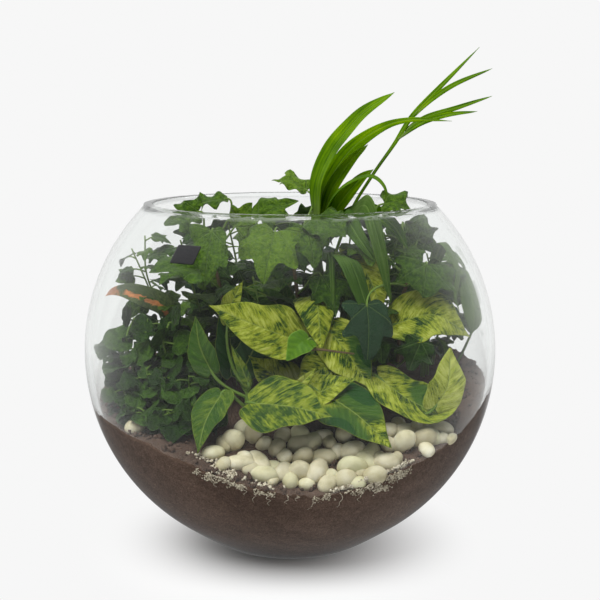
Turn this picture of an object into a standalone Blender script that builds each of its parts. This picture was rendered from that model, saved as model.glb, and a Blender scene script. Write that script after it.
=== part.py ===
"""A glass terrarium: a cut-rim fishbowl of soil and white pebbles, planted with a marble pothos,
ivy, a young palm, a croton and a round-leaved creeper.

The frame is metres, +Z up, with the origin at the centre of the bowl's flat base and -Y at the
front. Every length below is in millimetres, and becomes metres where a mesh is made.
"""

import math

import bmesh
import bpy
import numpy as np

MM = 0.001
GAP = 0.3  # clearance that touching pieces keep

# The bowl: a sphere with a flat base and a cut, rounded rim.
BOWL_RADIUS = 150.0
GLASS = 4.5
CENTRE_HEIGHT = 146.0
RIM_HEIGHT = 253.7
LIP_ROUNDING = 1.5
BASE_RADIUS = 44.0
BASE_BLEND_DROP = 125.0  # depth below the centre where the sphere starts to turn into the base
FLOOR_THICKNESS = 7.0
FLOOR_RADIUS = 30.0
FLOOR_BLEND_DROP = 128.0
SEGMENTS = 40
WALL_STEPS = 10
BLEND_STEPS = 3

# The soil: a tilted bed with scoops at the front, where the pebbles lie.
SOIL_LEVEL = 120.0
SOIL_TILT = (0.05, 0.10)
SCOOPS = (  # centre, reach and depth of each
    (25.0, -125.0, 98.0, 47.0, 40.0),
    (108.0, -82.0, 38.0, 38.0, 12.0),
)
SURFACE_RINGS = 10
SIDE_RINGS = 6
SIDE_CROWDING = 1.3  # rings on the side stand closer together as they near the floor
SOIL_GAP = 0.4
SOCKET_DEPTH = 12.0
SOCKET_NECK = 4.0  # how far below and above the surface a socket is straight
ROOT_DEPTH = 10.0
ROOT_COLLAR = 2.0  # a stem still stands over its root at this height above the surface

SINK = 0.35  # share of a pebble's height that lies in the soil
EGG = 0.12  # how much fuller one end of a pebble is
PEBBLE_SLOPE = math.radians(28)

POTHOS_STALK = 1.1
IVY_STALK = 0.7
CANE_LEAF_STALK = 1.1
SOIL_BLADE_STALK = 1.3
SPRIG_RADIUS = 1.2
SPRIG_TAPER = 0.35
SPRIG_STALK = 0.7
BLADE = 0.6  # half the thickness of a leaf at its midrib
BLADE_FOLD = 0.15
LOBE_DECAY = 0.9  # how fast the set-back of a leaf's lobes dies away from its base
STALK_REACH = (0.35, 0.12)  # share of its span that a stalk leaves its stem by, outwards and upwards
STALK_ARRIVAL = 0.3  # share of its span that a stalk runs along the midrib's line
RING = 6  # points round each section of a leaf or stem
CURVE_STEPS = 24
SEARCH_STEPS = 60
HALVINGS = 40  # of the interval in which the soil's edge is looked for
STEM_STATIONS = 9
SPRIG_STATIONS = 7
STALK_STATIONS = 4
CREASE = math.radians(50)  # sharper edges than this are shaded as edges

# Half-width of a leaf at stations from base to tip, as shares of its greatest half-width.
HEART = (
    (0, 0.08), (0.05, 0.55), (0.14, 0.85), (0.28, 1), (0.46, 0.92), (0.64, 0.68), (0.82, 0.34),
    (0.93, 0.13), (1, 0),
)
IVY = ((0, 0.1), (0.06, 0.5), (0.16, 0.78), (0.28, 0.55), (0.42, 1), (0.58, 0.46), (0.8, 0.3), (1, 0))
BLUNT = ((0, 0.12), (0.2, 0.85), (0.5, 1), (0.82, 0.7), (1, 0))
STRAP = (
    (0, 0), (0.08, 0.52), (0.17, 0.75), (0.25, 0.87), (0.33, 0.95), (0.42, 0.99), (0.5, 1), (0.58, 0.96),
    (0.67, 0.88), (0.75, 0.76), (0.83, 0.6), (0.92, 0.37), (1, 0),
)
BARE = 0.42  # share of a stalked leaf's length that is stalk
STALKED = (
    (0, 0), (0.06, 0), (0.2, 0), (0.34, 0),
    *((BARE + (1 - BARE) * station, width) for station, width in STRAP[::2]),
)

# Stems: root (x, y), then points above the soil, then radius at the foot and at the top.
STEMS = {
    "pothos_stem": ((16, -36), ((14, -44, 132), (16, -47, 152), (13, -45, 174)), 3.0, 2.2),
    "pothos_side_shoot": ((-24, -58), ((-27, -66, 112), (-29, -70, 122), (-28, -66, 134)), 2.4, 1.8),
    "ivy_stem_left": ((-40, -20), ((-44, -28, 160), (-50, -38, 200), (-58, -44, 230)), 1.5, 1.1),
    "ivy_stem_centre": (
        (4, -18), ((6, -22, 150), (6, -25, 181), (2, -30, 215), (-1, -36, 234)), 1.6, 1.2,
    ),
    "ivy_stem_right": ((76, -16), ((78, -26, 150), (78, -30, 180), (86, -28, 205)), 1.5, 1.1),
    "palm_cane": ((27, 14), ((25, 10, 165), (20, 4, 210), (17, 0, 246)), 4.5, 3.2),
}

# Leaves on a stalk: stem, height on it, width, facing, fold, how far the lobes reach back, and the
# midrib from base to tip.
POTHOS_LEAVES = {
    "pothos_leaf_broad_left": (
        "pothos_stem", 158, 38, (0.1, -0.8, 0.55), 0.12, 5,
        ((6, -62, 162), (-24, -72, 175), (-56, -78, 190)),
    ),
    "pothos_leaf_small_front": (
        "pothos_stem", 140, 17, (-0.3, -0.9, 0.25), 0.2, 0.4,
        ((13, -72, 165), (7, -79, 163), (-2, -82, 152)),
    ),
    "pothos_leaf_draped": (
        "pothos_stem", 166, 30, (0.15, -0.6, 0.8), -0.15, 4,
        ((14, -36, 189), (19, -55, 186), (22, -68, 157)),
    ),
    "pothos_leaf_hanging": (
        "pothos_stem", 144, 33, (0.1, -0.95, 0.3), 0.1, 6,
        ((28, -54, 168), (42, -63, 151), (57, -75, 129)),
    ),
    "pothos_leaf_right": (
        "pothos_stem", 151, 36, (0.0, -0.8, 0.6), 0.1, 6,
        ((72, -47, 171), (102, -47, 178), (131, -40, 158)),
    ),
    "pothos_leaf_curled": (
        "pothos_stem", 136, 31, (0.25, -0.2, 0.9), 0.12, 4,
        ((62, -66, 137), (81, -75, 124), (99, -78, 118), (111, -71, 131), (108, -62, 153)),
    ),
    "pothos_leaf_low_front": (
        "pothos_side_shoot", 118, 42, (-0.05, -0.7, 0.7), 0.08, 7,
        ((-26, -92, 125), (4, -102, 124), (31, -111, 119)),
    ),
    "pothos_leaf_low_right": (
        "pothos_stem", 128, 44, (0.2, -0.7, 0.7), 0.06, 7,
        ((18, -78, 131), (44, -92, 118), (68, -108, 98)),
    ),
    "pothos_leaf_low_left": (
        "pothos_side_shoot", 116, 24, (-0.45, -0.85, 0.2), 0.15, 4,
        ((-46, -84, 130), (-56, -98, 114), (-61, -109, 94)),
    ),
    "pothos_leaf_upright": (
        "pothos_side_shoot", 124, 19, (-0.3, -0.95, 0.1), 0.3, 3,
        ((-54, -68, 142), (-62, -67, 160), (-65, -62, 180)),
    ),
    "pothos_leaf_dark_folded": (
        "pothos_side_shoot", 130, 22, (0.3, -0.9, 0.1), 0.3, 3,
        ((-40, -50, 140), (-42, -48, 172), (-35, -42, 200)),
    ),
    "pothos_leaf_rolled": (
        "pothos_side_shoot", 121, 6, (0.4, -0.8, 0.3), 0.4, 0,
        ((2, -86, 133), (10, -84, 139), (18, -80, 147)),
    ),
    "pothos_leaf_arched": (
        "pothos_stem", 172, 20, (0.3, -0.6, 0.7), 0.0, 4,
        ((36, -24, 219), (48, -30, 212), (58, -38, 194), (62, -45, 171)),
    ),
}

IVY_LEAVES = {
    "ivy_leaf_bright": (
        "ivy_stem_centre", 222, 38, (0, -0.85, 0.5), 0.05, 3,
        ((-10, -52, 238), (-14, -62, 222), (-18, -66, 200)),
    ),
    "ivy_leaf_centre": (
        "ivy_stem_centre", 228, 28, (0.3, -0.85, 0.4), 0.05, 2,
        ((12, -44, 240), (15, -54, 228), (17, -57, 212)),
    ),
    "ivy_leaf_pale_left": (
        "ivy_stem_left", 214, 28, (-0.15, -0.95, 0.3), -0.1, 3,
        ((-53, -60, 238), (-56, -67, 220), (-58, -68, 201)),
    ),
    "ivy_leaf_wide_left": (
        "ivy_stem_left", 196, 34, (0, -0.45, 0.9), -0.05, 3,
        ((-62, -58, 211), (-80, -62, 214), (-98, -62, 208)),
    ),
    "ivy_leaf_bluish": (
        "ivy_stem_right", 196, 34, (0.15, -0.95, 0.2), 0.05, 3,
        ((52, -68, 192), (52, -77, 170), (51, -80, 147)),
    ),
    "ivy_leaf_low_right": (
        "ivy_stem_right", 136, 26, (0.1, -0.95, 0.3), 0.05, 2,
        ((91, -59, 161), (87, -61, 152), (83, -60, 141)),
    ),
    "ivy_leaf_right": (
        "ivy_stem_right", 196, 40, (0.2, -0.85, 0.5), 0.05, 3,
        ((96, -40, 213), (94, -48, 200), (92, -50, 187)),
    ),
    "ivy_leaf_rim_left": (
        "ivy_stem_left", 226, 24, (-0.1, -0.6, 0.8), -0.1, 0.5,
        ((-62, -34, 254), (-74, -32, 251), (-88, -30, 244)),
    ),
    "ivy_leaf_rim_centre": (
        "ivy_stem_left", 222, 22, (0.1, -0.9, 0.3), 0.1, 2,
        ((-38, -46, 240), (-32, -46, 247), (-26, -44, 257)),
    ),
}

# Strap leaves of the palm, from its cane: height on it, width, facing, and points to the tip.
CANE_LEAVES = {
    "palm_leaf_tall": (
        236, 18, (-0.5, -0.8, 0.3),
        ((21, -7, 268), (30, -10, 290), (42, -14, 307), (54, -16, 320), (74, -18, 333)),
    ),
    "palm_leaf_long": (
        242, 13, (0.3, -0.8, 0.5),
        ((26, 5, 264), (43, 8, 290), (66, 10, 307), (88, 11, 313), (118, 12, 312)),
    ),
    "palm_leaf_arched": (
        228, 7, (0, -0.5, 0.85),
        ((30, -12, 256), (41, -17, 268), (56, -21, 274), (66, -24, 268), (71, -26, 254)),
    ),
    "palm_leaf_hanging": (
        222, 11, (0.1, -0.4, 0.9),
        (
            (44, -14, 246), (53, -44, 255), (58, -57, 243), (63, -60, 224), (67, -60, 205),
            (70, -59, 188),
        ),
    ),
    "palm_leaf_short_front": (
        214, 13, (0.2, -0.4, 0.9),
        ((33, -14, 238), (38, -34, 246), (48, -45, 232), (59, -49, 216)),
    ),
    "palm_leaf_dark": (
        206, 13, (0.1, -0.5, 0.8),
        ((17, -16, 232), (23, -30, 240), (30, -37, 226)),
    ),
}

# Leaves that rise from the soil: root, width, facing, and points to the tip.
SOIL_BLADES = {
    "grass_blade_right": (
        (102, 6), 10, (0.2, -0.3, 0.9),
        (
            (102, 0, 180), (106, -4, 216), (113, -10, 225), (122, -17, 206), (119, -23, 188),
            (121, -27, 177),
        ),
    ),
    "grass_blade_glass": (
        (124, 12), 13, (0.8, -0.6, 0.0),
        ((131, 8, 147), (135, 3, 160), (135, 1, 177), (131, 5, 194), (122, 10, 207)),
    ),
    "pointed_leaf": (
        (44, -30), 18, (-0.1, -0.5, 0.85),
        ((44, -34, 150), (41, -38, 198), (40, -45, 211), (43, -54, 202), (48, -58, 179)),
    ),
    "croton_leaf": (
        (-78, -4), 22, (0, -0.75, 0.65),
        (
            (-82, -10, 160), (-90, -18, 180), (-104, -20, 188), (-118, -16, 191), (-128, -12, 190),
            (-135, -8, 186),
        ),
    ),
}

# The frond: a stalk from the cane, then leaflets that leave it at its upper end.
FROND_FOOT = 190
FROND_RADIUS = 1.4
FROND_STATIONS = 15
FROND_BARE = 0.6  # share of the stalk below its end leaflet
END_LEAFLET = 2.6  # what the end leaflet adds to the stalk's half-width
LEAFLET_WIDTH = 6.5
LEAFLET_STALK = 0.9
FROND_FACING = (-0.5, -0.8, 0.3)
FROND_STALK = (
    (44, 16, 244), (60, 20, 271), (77, 24, 295), (90, 26, 315), (110, 28, 336), (139, 28, 366),
)
FROND_LEAFLETS = (
    ((88, 26, 312), (104, 25, 327), (122, 24, 339), (148, 22, 350)),
    ((82, 25, 303), (99, 24, 314), (121, 22, 321), (148, 20, 330)),
    ((79, 24, 298), (96, 21, 310), (114, 18, 316), (137, 16, 319)),
)

# Sprigs: root, stem points, leaf outline, which way the leaves lean, then (x, y, z, size) of each leaf.
FORWARD = (0, -0.6, 0.6)
BACKWARD = (0, 0.5, 0.9)
SPRIGS = {
    "creeper_sprig_outer": (
        (-104, -26), BLUNT, FORWARD,
        ((-112, -32, 136), (-117, -26, 158), (-112, -22, 172)),
        (
            (-122, -44, 139, 20), (-113, -46, 122, 17), (-116, -34, 176, 15), (-124, -26, 157, 19),
            (-103, -38, 150, 17), (-106, -26, 167, 14), (-126, -14, 140, 15),
        ),
    ),
    "creeper_sprig_front": (
        (-84, -58), BLUNT, FORWARD,
        ((-86, -60, 112), (-92, -63, 119), (-101, -62, 124)),
        (
            (-108, -64, 120, 15), (-95, -77, 118, 15), (-79, -82, 115, 16), (-70, -74, 123, 15),
            (-88, -72, 132, 14),
        ),
    ),
    "creeper_sprig_inner": (
        (-78, -30), BLUNT, FORWARD,
        ((-84, -36, 136), (-90, -36, 156), (-86, -32, 170)),
        (
            (-93, -44, 161, 17), (-80, -52, 141, 18), (-98, -50, 138, 16), (-74, -44, 158, 17),
            (-80, -40, 176, 15), (-70, -56, 128, 15),
        ),
    ),
    "ivy_sprig_back_left": (
        (-64, 55), IVY, BACKWARD,
        ((-66, 58, 160), (-70, 62, 195), (-64, 58, 225)),
        (
            (-84, 68, 164, 24), (-56, 74, 176, 22), (-88, 60, 192, 24), (-56, 72, 206, 24),
            (-80, 56, 226, 22), (-50, 48, 234, 22),
        ),
    ),
    "ivy_sprig_back_centre": (
        (-5, 77), IVY, BACKWARD,
        ((-4, 80, 160), (0, 84, 195), (4, 76, 226)),
        (
            (-22, 90, 160, 24), (14, 94, 172, 22), (-18, 94, 194, 24), (19, 86, 206, 22),
            (-12, 76, 234, 22), (16, 64, 242, 22),
        ),
    ),
    "ivy_sprig_back_right": (
        (74, 57), IVY, BACKWARD,
        ((76, 60, 160), (80, 62, 195), (72, 56, 226)),
        (
            (94, 68, 164, 24), (62, 76, 174, 22), (98, 56, 192, 22), (63, 70, 206, 24),
            (90, 46, 226, 22), (58, 42, 236, 22),
        ),
    ),
}

# Pebbles: place (x, y) on the soil, half-sizes along, across and through, and roll in degrees.
PEBBLES = (
    (-106, -80, 6.0, 5.0, 4.5, 0),
    (-39, -90, 9.2, 5.5, 7.0, 70),
    (-25, -82, 8.6, 5.0, 6.2, 80),
    (-34, -105, 9.6, 5.0, 5.0, 4),
    (-18, -110, 9.2, 5.2, 5.4, -6),
    (8, -86, 9.4, 5.6, 6.2, 0),
    (6, -105, 8.0, 5.0, 7.0, 60),
    (42, -103, 9.6, 5.4, 8.0, -20),
    (64, -102, 8.2, 5.0, 6.2, 12),
    (76, -88, 10.0, 5.4, 6.6, 62),
    (90, -84, 9.4, 5.4, 6.4, 55),
    (102, -73, 8.2, 5.2, 5.6, -8),
)

# Finishes: colour, roughness, and for the glass its transmission and alpha.
FINISHES = {
    "clear_glass": ((0.9, 0.93, 0.92), 0.03, 1.0, 0.3),
    "black_label": ((0.03, 0.03, 0.03), 0.5),
    "potting_soil": ((0.10, 0.07, 0.055), 0.95),
    "white_pebble": ((0.72, 0.70, 0.58), 0.55),
    "marbled_leaf": ((0.42, 0.50, 0.10), 0.4),
    "ivy_leaf": ((0.10, 0.22, 0.06), 0.5),
    "palm_leaf": ((0.13, 0.30, 0.03), 0.4),
    "creeper_leaf": ((0.07, 0.16, 0.04), 0.5),
    "croton_leaf": ((0.35, 0.22, 0.05), 0.4),
    "stem": ((0.16, 0.14, 0.05), 0.7),
}

# The blank label on the outside of the glass: direction from the sphere's centre, and size.
LABEL_AZIMUTH = (-127.5, -118.0)
LABEL_ELEVATION = (30.2, 35.4)
LABEL_THICKNESS = 0.6
LABEL_STEPS = 4


def clear_scene():
    for obj in list(bpy.data.objects):
        bpy.data.objects.remove(obj, do_unlink=True)


def material(name, colour, roughness, transmission=0.0, alpha=1.0):
    made = bpy.data.materials.new(name)
    made.use_nodes = True
    shader = made.node_tree.nodes["Principled BSDF"]
    shader.inputs["Base Color"].default_value = (*colour, 1.0)
    shader.inputs["Roughness"].default_value = roughness
    shader.inputs["Transmission Weight"].default_value = transmission
    shader.inputs["Alpha"].default_value = alpha
    made.diffuse_color = (*colour, alpha)
    return made


def solid(name, points, faces, finish):
    """An object from points in millimetres and faces, with its normals turned outwards."""
    mesh = bpy.data.meshes.new(name)
    mesh.from_pydata((np.asarray(points) * MM).tolist(), [], faces)
    shaper = bmesh.new()
    shaper.from_mesh(mesh)
    bmesh.ops.recalc_face_normals(shaper, faces=shaper.faces)
    shaper.to_mesh(mesh)
    shaper.free()
    mesh.shade_smooth()
    mesh.set_sharp_from_angle(angle=CREASE)
    mesh.materials.append(finish)
    made = bpy.data.objects.new(name, mesh)
    bpy.context.scene.collection.objects.link(made)
    return made


def as_cutter(obj):
    obj.hide_render = True
    obj.display_type = "WIRE"
    return obj


def boolean(obj, operation, helpers):
    """Cuts or joins the helpers, which become a hidden collection, with one exact Boolean."""
    group = bpy.data.collections.new(obj.name + "_" + operation.lower())
    bpy.context.scene.collection.children.link(group)
    for helper in helpers:
        bpy.context.scene.collection.objects.unlink(helper)
        group.objects.link(as_cutter(helper))
    made = obj.modifiers.new(operation.title(), "BOOLEAN")
    made.operation = operation
    made.operand_type = "COLLECTION"
    made.collection = group
    made.solver = "EXACT"


def unit(vector):
    vector = np.asarray(vector, float)
    return vector / np.linalg.norm(vector)


def curve_at(points, shares):
    """Points at these shares of the length of a smooth curve (Catmull-Rom) through the points."""
    knots = np.asarray(points, float)
    knots = np.vstack((2 * knots[0] - knots[1], knots, 2 * knots[-1] - knots[-2]))
    t = np.linspace(0, 1, CURVE_STEPS, endpoint=False)[:, None]
    spans = []
    for a, b, c, d in zip(knots, knots[1:], knots[2:], knots[3:]):
        bend = 2 * a - 5 * b + 4 * c - d
        swing = 3 * b - a - 3 * c + d
        spans.append(0.5 * (2 * b + (c - a) * t + bend * t**2 + swing * t**3))
    dense = np.vstack((*spans, knots[-2]))
    steps = np.linalg.norm(np.diff(dense, axis=0), axis=1)
    run = np.concatenate(([0], np.cumsum(steps)))
    wanted = np.asarray(shares) * run[-1]
    return np.column_stack([np.interp(wanted, run, dense[:, k]) for k in range(3)])


def frames_along(path, facing, anchor):
    """Sideways and upward directions at each point, turned as little as possible from the anchor."""
    tangents = np.gradient(path, axis=0)
    tangents /= np.linalg.norm(tangents, axis=1)[:, None]
    sideways = np.zeros_like(path)
    sideways[anchor] = unit(np.cross(tangents[anchor], facing))
    onwards = [(i, i - 1) for i in range(anchor + 1, len(path))]
    backwards = [(i, i + 1) for i in range(anchor - 1, -1, -1)]
    for i, before in onwards + backwards:
        turned = sideways[before] - tangents[i] * (sideways[before] @ tangents[i])
        sideways[i] = unit(turned)
    return tangents, sideways, np.cross(sideways, tangents)


def loft(name, path, half_widths, half_depths, facing, finish, anchor=0, fold=0.0, lobe=0.0):
    """Elliptical sections along a path, closed by a flat foot and by a point or a flat top.

    The two sides share the direction of their diagonals, so that a twisted blade keeps its thickness.
    """
    tangents, sideways, upward = frames_along(path, facing, anchor)
    around = np.arange(RING) * 2 * math.pi / RING
    widths = np.asarray(half_widths)[:, None, None]
    depths = np.asarray(half_depths)[:, None, None]
    across = np.cos(around)[None, :, None]
    through = np.sin(around)[None, :, None]
    past_base = np.arange(len(path)) - anchor
    dying = np.exp(-LOBE_DECAY * np.maximum(past_base - 1, 0))
    set_back = np.where(past_base > 0, lobe * dying, 0)[:, None, None]
    rings = (
        path[:, None]
        + sideways[:, None] * across * widths
        + upward[:, None] * (through * depths + fold * np.abs(across) * (widths - depths))
        - tangents[:, None] * set_back * across**2
    )
    pointed = half_widths[-1] < GAP
    count = len(path) - 1 if pointed else len(path)
    points = rings[:count].reshape(-1, 3)
    faces = [tuple(range(RING))]
    for i in range(count - 1):
        for j in range(RING):
            k = (j + 1) % RING
            a, b, c, d = i * RING + j, i * RING + k, (i + 1) * RING + k, (i + 1) * RING + j
            over = j < RING // 2
            faces += [(a, b, c), (a, c, d)] if over else [(a, b, d), (b, c, d)]
    last = (count - 1) * RING
    if pointed:
        points = np.vstack((points, path[-1]))
        faces += [(last + j, last + (j + 1) % RING, last + RING) for j in range(RING)]
    else:
        faces.append(tuple(range(last, last + RING)))
    return solid(name, points, faces, finish)


def soil_height(x, y):
    """The bed's surface: a tilted plane, less bell-shaped scoops near the front glass."""
    height = SOIL_LEVEL + SOIL_TILT[0] * x + SOIL_TILT[1] * y
    for centre_x, centre_y, reach_x, reach_y, depth in SCOOPS:
        away = ((x - centre_x) / reach_x) ** 2 + ((y - centre_y) / reach_y) ** 2
        height = height - depth * np.exp(-away)
    return height


def sphere_to_flat(radius, top, blend_drop, flat_height, flat_radius):
    """(radius, height) from the top down a sphere's side, then along a tangent blend to a flat disc."""
    start = math.asin((top - CENTRE_HEIGHT) / radius)
    end = -math.asin(blend_drop / radius)
    angles = np.linspace(start, end, WALL_STEPS)
    side = np.column_stack((radius * np.cos(angles), CENTRE_HEIGHT + radius * np.sin(angles)))
    leave = side[-1]
    slope = blend_drop / leave[0]
    corner = np.array((leave[0] - slope * (leave[1] - flat_height), flat_height))
    arrive = np.array((flat_radius, flat_height))
    t = np.linspace(0, 1, BLEND_STEPS + 1)[1:, None]
    blend = leave * (1 - t) ** 2 + 2 * corner * t * (1 - t) + arrive * t**2
    return np.vstack((side, blend))


def bowl_profiles():
    """The outer and inner walls' (radius, height), each from the rim down."""
    top = RIM_HEIGHT - LIP_ROUNDING
    outer = sphere_to_flat(BOWL_RADIUS, top, BASE_BLEND_DROP, 0.0, BASE_RADIUS)
    inner = sphere_to_flat(BOWL_RADIUS - GLASS, top, FLOOR_BLEND_DROP, FLOOR_THICKNESS, FLOOR_RADIUS)
    return outer, inner


def build_bowl(finish):
    """The profile runs from the inner floor up over the lip and down the outside, then is screwed round."""
    outer, inner = bowl_profiles()
    lip_middle = (outer[0, 0] + inner[0, 0]) / 2
    lip_half = (outer[0, 0] - inner[0, 0]) / 2
    turns = np.radians((135, 90, 45))
    top = RIM_HEIGHT - LIP_ROUNDING
    lip = np.column_stack((lip_middle + lip_half * np.cos(turns), top + LIP_ROUNDING * np.sin(turns)))
    profile = np.vstack(((0, FLOOR_THICKNESS), inner[::-1], lip, outer, (0, 0)))
    points = [(r * MM, 0, z * MM) for r, z in profile]
    mesh = bpy.data.meshes.new("glass_bowl")
    mesh.from_pydata(points, [(i, i + 1) for i in range(len(points) - 1)], [])
    mesh.materials.append(finish)
    bowl = bpy.data.objects.new("glass_bowl", mesh)
    bpy.context.scene.collection.objects.link(bowl)
    turn = bowl.modifiers.new("Turn", "SCREW")
    turn.steps = SEGMENTS
    turn.render_steps = SEGMENTS
    turn.use_merge_vertices = True
    turn.merge_threshold = 0.0001
    turn.use_smooth_shade = True


def build_label(finish):
    """A curved plate laid on the outside of the sphere."""
    azimuths = np.radians(np.linspace(*LABEL_AZIMUTH, LABEL_STEPS))
    elevations = np.radians(np.linspace(*LABEL_ELEVATION, LABEL_STEPS))
    turn, rise = np.meshgrid(azimuths, elevations)
    level = np.cos(rise)
    outward = np.stack((level * np.cos(turn), level * np.sin(turn), np.sin(rise)), axis=-1)
    outward = outward.reshape(-1, 3)
    centre = np.array((0, 0, CENTRE_HEIGHT))
    near = centre + outward * (BOWL_RADIUS + GAP)
    far = centre + outward * (BOWL_RADIUS + GAP + LABEL_THICKNESS)
    count = LABEL_STEPS * LABEL_STEPS
    faces = []
    for row in range(LABEL_STEPS - 1):
        for column in range(LABEL_STEPS - 1):
            a = row * LABEL_STEPS + column
            quad = (a, a + 1, a + LABEL_STEPS + 1, a + LABEL_STEPS)
            faces += [quad, tuple(count + i for i in quad[::-1])]
    last = LABEL_STEPS - 1
    edge = list(range(last))
    edge += [last + LABEL_STEPS * i for i in range(last)]
    edge += [count - 1 - i for i in range(last)]
    edge += [LABEL_STEPS * (last - i) for i in range(last)]
    for a, b in zip(edge, edge[1:] + edge[:1]):
        faces.append((a, b, count + b, count + a))
    solid("blank_label", np.vstack((near, far)), faces, finish)


def build_soil(finish, cutters):
    """The bed: its surface out to the glass, then down along the inner wall, less the cutters."""
    inner = bowl_profiles()[1]
    centre = np.array((0, CENTRE_HEIGHT))
    shrink = (BOWL_RADIUS - GLASS - SOIL_GAP) / (BOWL_RADIUS - GLASS)
    wall = (centre + (inner - centre) * shrink)[::-1]
    turn = np.arange(SEGMENTS) * 2 * math.pi / SEGMENTS
    low = np.full(SEGMENTS, BOWL_RADIUS / 2)
    high = np.full(SEGMENTS, BOWL_RADIUS)
    for _ in range(HALVINGS):
        middle = (low + high) / 2
        height = soil_height(middle * np.cos(turn), middle * np.sin(turn))
        inside = middle < np.interp(height, wall[1:, 1], wall[1:, 0])
        low = np.where(inside, middle, low)
        high = np.where(inside, high, middle)
    reach = low
    contact = soil_height(reach * np.cos(turn), reach * np.sin(turn))
    points = [(0, 0, float(soil_height(0, 0)))]
    for share in np.linspace(0, 1, SURFACE_RINGS + 1)[1:]:
        x = share * reach * np.cos(turn)
        y = share * reach * np.sin(turn)
        points += list(zip(x, y, soil_height(x, y)))
    floor = wall[0, 1]
    for share in np.linspace(0, 1, SIDE_RINGS + 1)[1:]:
        height = contact + (floor - contact) * (1 - (1 - share) ** SIDE_CROWDING)
        radius = np.interp(height, wall[:, 1], wall[:, 0])
        points += list(zip(radius * np.cos(turn), radius * np.sin(turn), height))
    rings = (len(points) - 1) // SEGMENTS
    points.append((0, 0, floor))
    faces = []
    for j in range(SEGMENTS):
        k = (j + 1) % SEGMENTS
        faces.append((0, 1 + j, 1 + k))
        for i in range(rings - 1):
            a = 1 + i * SEGMENTS
            faces.append((a + j, a + SEGMENTS + j, a + SEGMENTS + k, a + k))
        a = 1 + (rings - 1) * SEGMENTS
        faces.append((a + j, len(points) - 1, a + k))
    soil = solid("soil", points, faces, finish)
    boolean(soil, "DIFFERENCE", cutters)


def pebble_shape(name, place, grow, finish):
    """An egg-shaped stone on the soil, its flat side on the slope and turned by its roll."""
    x, y, along, across, through, roll = place
    shaper = bmesh.new()
    bmesh.ops.create_icosphere(shaper, subdivisions=2, radius=1.0)
    shape = np.array([v.co for v in shaper.verts])
    faces = [tuple(v.index for v in face.verts) for face in shaper.faces]
    shaper.free()
    shape *= 1 + EGG * shape[:, :1]
    shape *= np.array((along, across, through)) + grow
    turn = math.radians(roll)
    rolled = np.column_stack((
        shape[:, 0] * math.cos(turn) - shape[:, 2] * math.sin(turn),
        shape[:, 1],
        shape[:, 0] * math.sin(turn) + shape[:, 2] * math.cos(turn),
    ))
    leant = np.column_stack((
        rolled[:, 0],
        rolled[:, 1] * math.cos(PEBBLE_SLOPE) - rolled[:, 2] * math.sin(PEBBLE_SLOPE),
        rolled[:, 1] * math.sin(PEBBLE_SLOPE) + rolled[:, 2] * math.cos(PEBBLE_SLOPE),
    ))
    half_height = math.hypot(along * math.sin(turn), through * math.cos(turn))
    height = float(soil_height(x, y)) + half_height * (1 - 2 * SINK)
    return solid(name, leant + (x, y, height), faces, finish)


def build_pebbles(finish):
    cutters = []
    for number, place in enumerate(PEBBLES, 1):
        pebble_shape(f"pebble_{number:02d}", place, 0.0, finish)
        cutters.append(pebble_shape(f"pebble_{number:02d}_hollow", place, GAP, finish))
    return cutters


def rooted(root, points):
    """The points of a stem, from its foot in the soil upwards."""
    x, y = root
    surface = float(soil_height(x, y))
    return ((x, y, surface - ROOT_DEPTH), (x, y, surface + ROOT_COLLAR), *points)


def socket(name, root, radius, finish):
    """A cutter for the hole that a stem stands in."""
    x, y = root
    surface = float(soil_height(x, y))
    heights = (surface - SOCKET_DEPTH, surface - SOCKET_NECK, surface + SOCKET_NECK)
    path = np.array([(x, y, z) for z in heights])
    sizes = [radius] * len(heights)
    return loft(name, path, sizes, sizes, (0, -1, 0), finish)


def build_stem(name, finish):
    root, points, foot, top = STEMS[name]
    shares = np.linspace(0, 1, STEM_STATIONS)
    path = curve_at(rooted(root, points), shares)
    radii = foot + (top - foot) * shares
    loft(name, path, radii, radii, (0, -1, 0), finish)
    return socket(name + "_socket", root, foot + 3 * GAP, finish)


def stem_side(name, height, towards, room):
    """The point just off a stem's side at this height, towards a given point, and the way out."""
    root, points, foot, top = STEMS[name]
    shares = np.linspace(0, 1, SEARCH_STEPS)
    path = curve_at(rooted(root, points), shares)
    share = np.interp(height, path[:, 2], shares)
    centre = curve_at(rooted(root, points), [share])[0]
    out = np.asarray(towards, float) - centre
    out = unit((out[0], out[1], 0))
    radius = foot + (top - foot) * share
    return centre + out * (radius + 1.5 * GAP + room), out


def build_leaf(name, row, outline, petiole, finish):
    """A leaf on its stalk: the stalk leaves the stem sideways and arrives along the midrib."""
    stem, height, width, facing, fold, lobe, midrib = row
    start, out = stem_side(stem, height, midrib[0], petiole / 3)
    base = np.asarray(midrib[0], float)
    along = unit(np.asarray(midrib[1]) - base)
    span = np.linalg.norm(base - start)
    leave = start + (out * STALK_REACH[0] + np.array((0, 0, STALK_REACH[1]))) * span
    arrive = base - along * STALK_ARRIVAL * span
    t = np.linspace(0, 1, STALK_STATIONS + 1)[:-1, None]
    stalk = start * (1 - t) ** 3 + 3 * leave * t * (1 - t) ** 2
    stalk = stalk + 3 * arrive * t**2 * (1 - t) + base * t**3
    stations, shares = np.array(outline).T
    blade = curve_at(midrib, stations)
    least = petiole * (shares > 0)
    half_widths = np.concatenate((np.full(len(stalk), petiole), np.maximum(shares * width / 2, least)))
    thin = np.where(stations == 0, petiole, BLADE)
    half_depths = np.concatenate((np.full(len(stalk), petiole), thin))
    path = np.vstack((stalk, blade))
    loft(name, path, half_widths, half_depths, facing, finish, len(stalk), fold, lobe)


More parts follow.
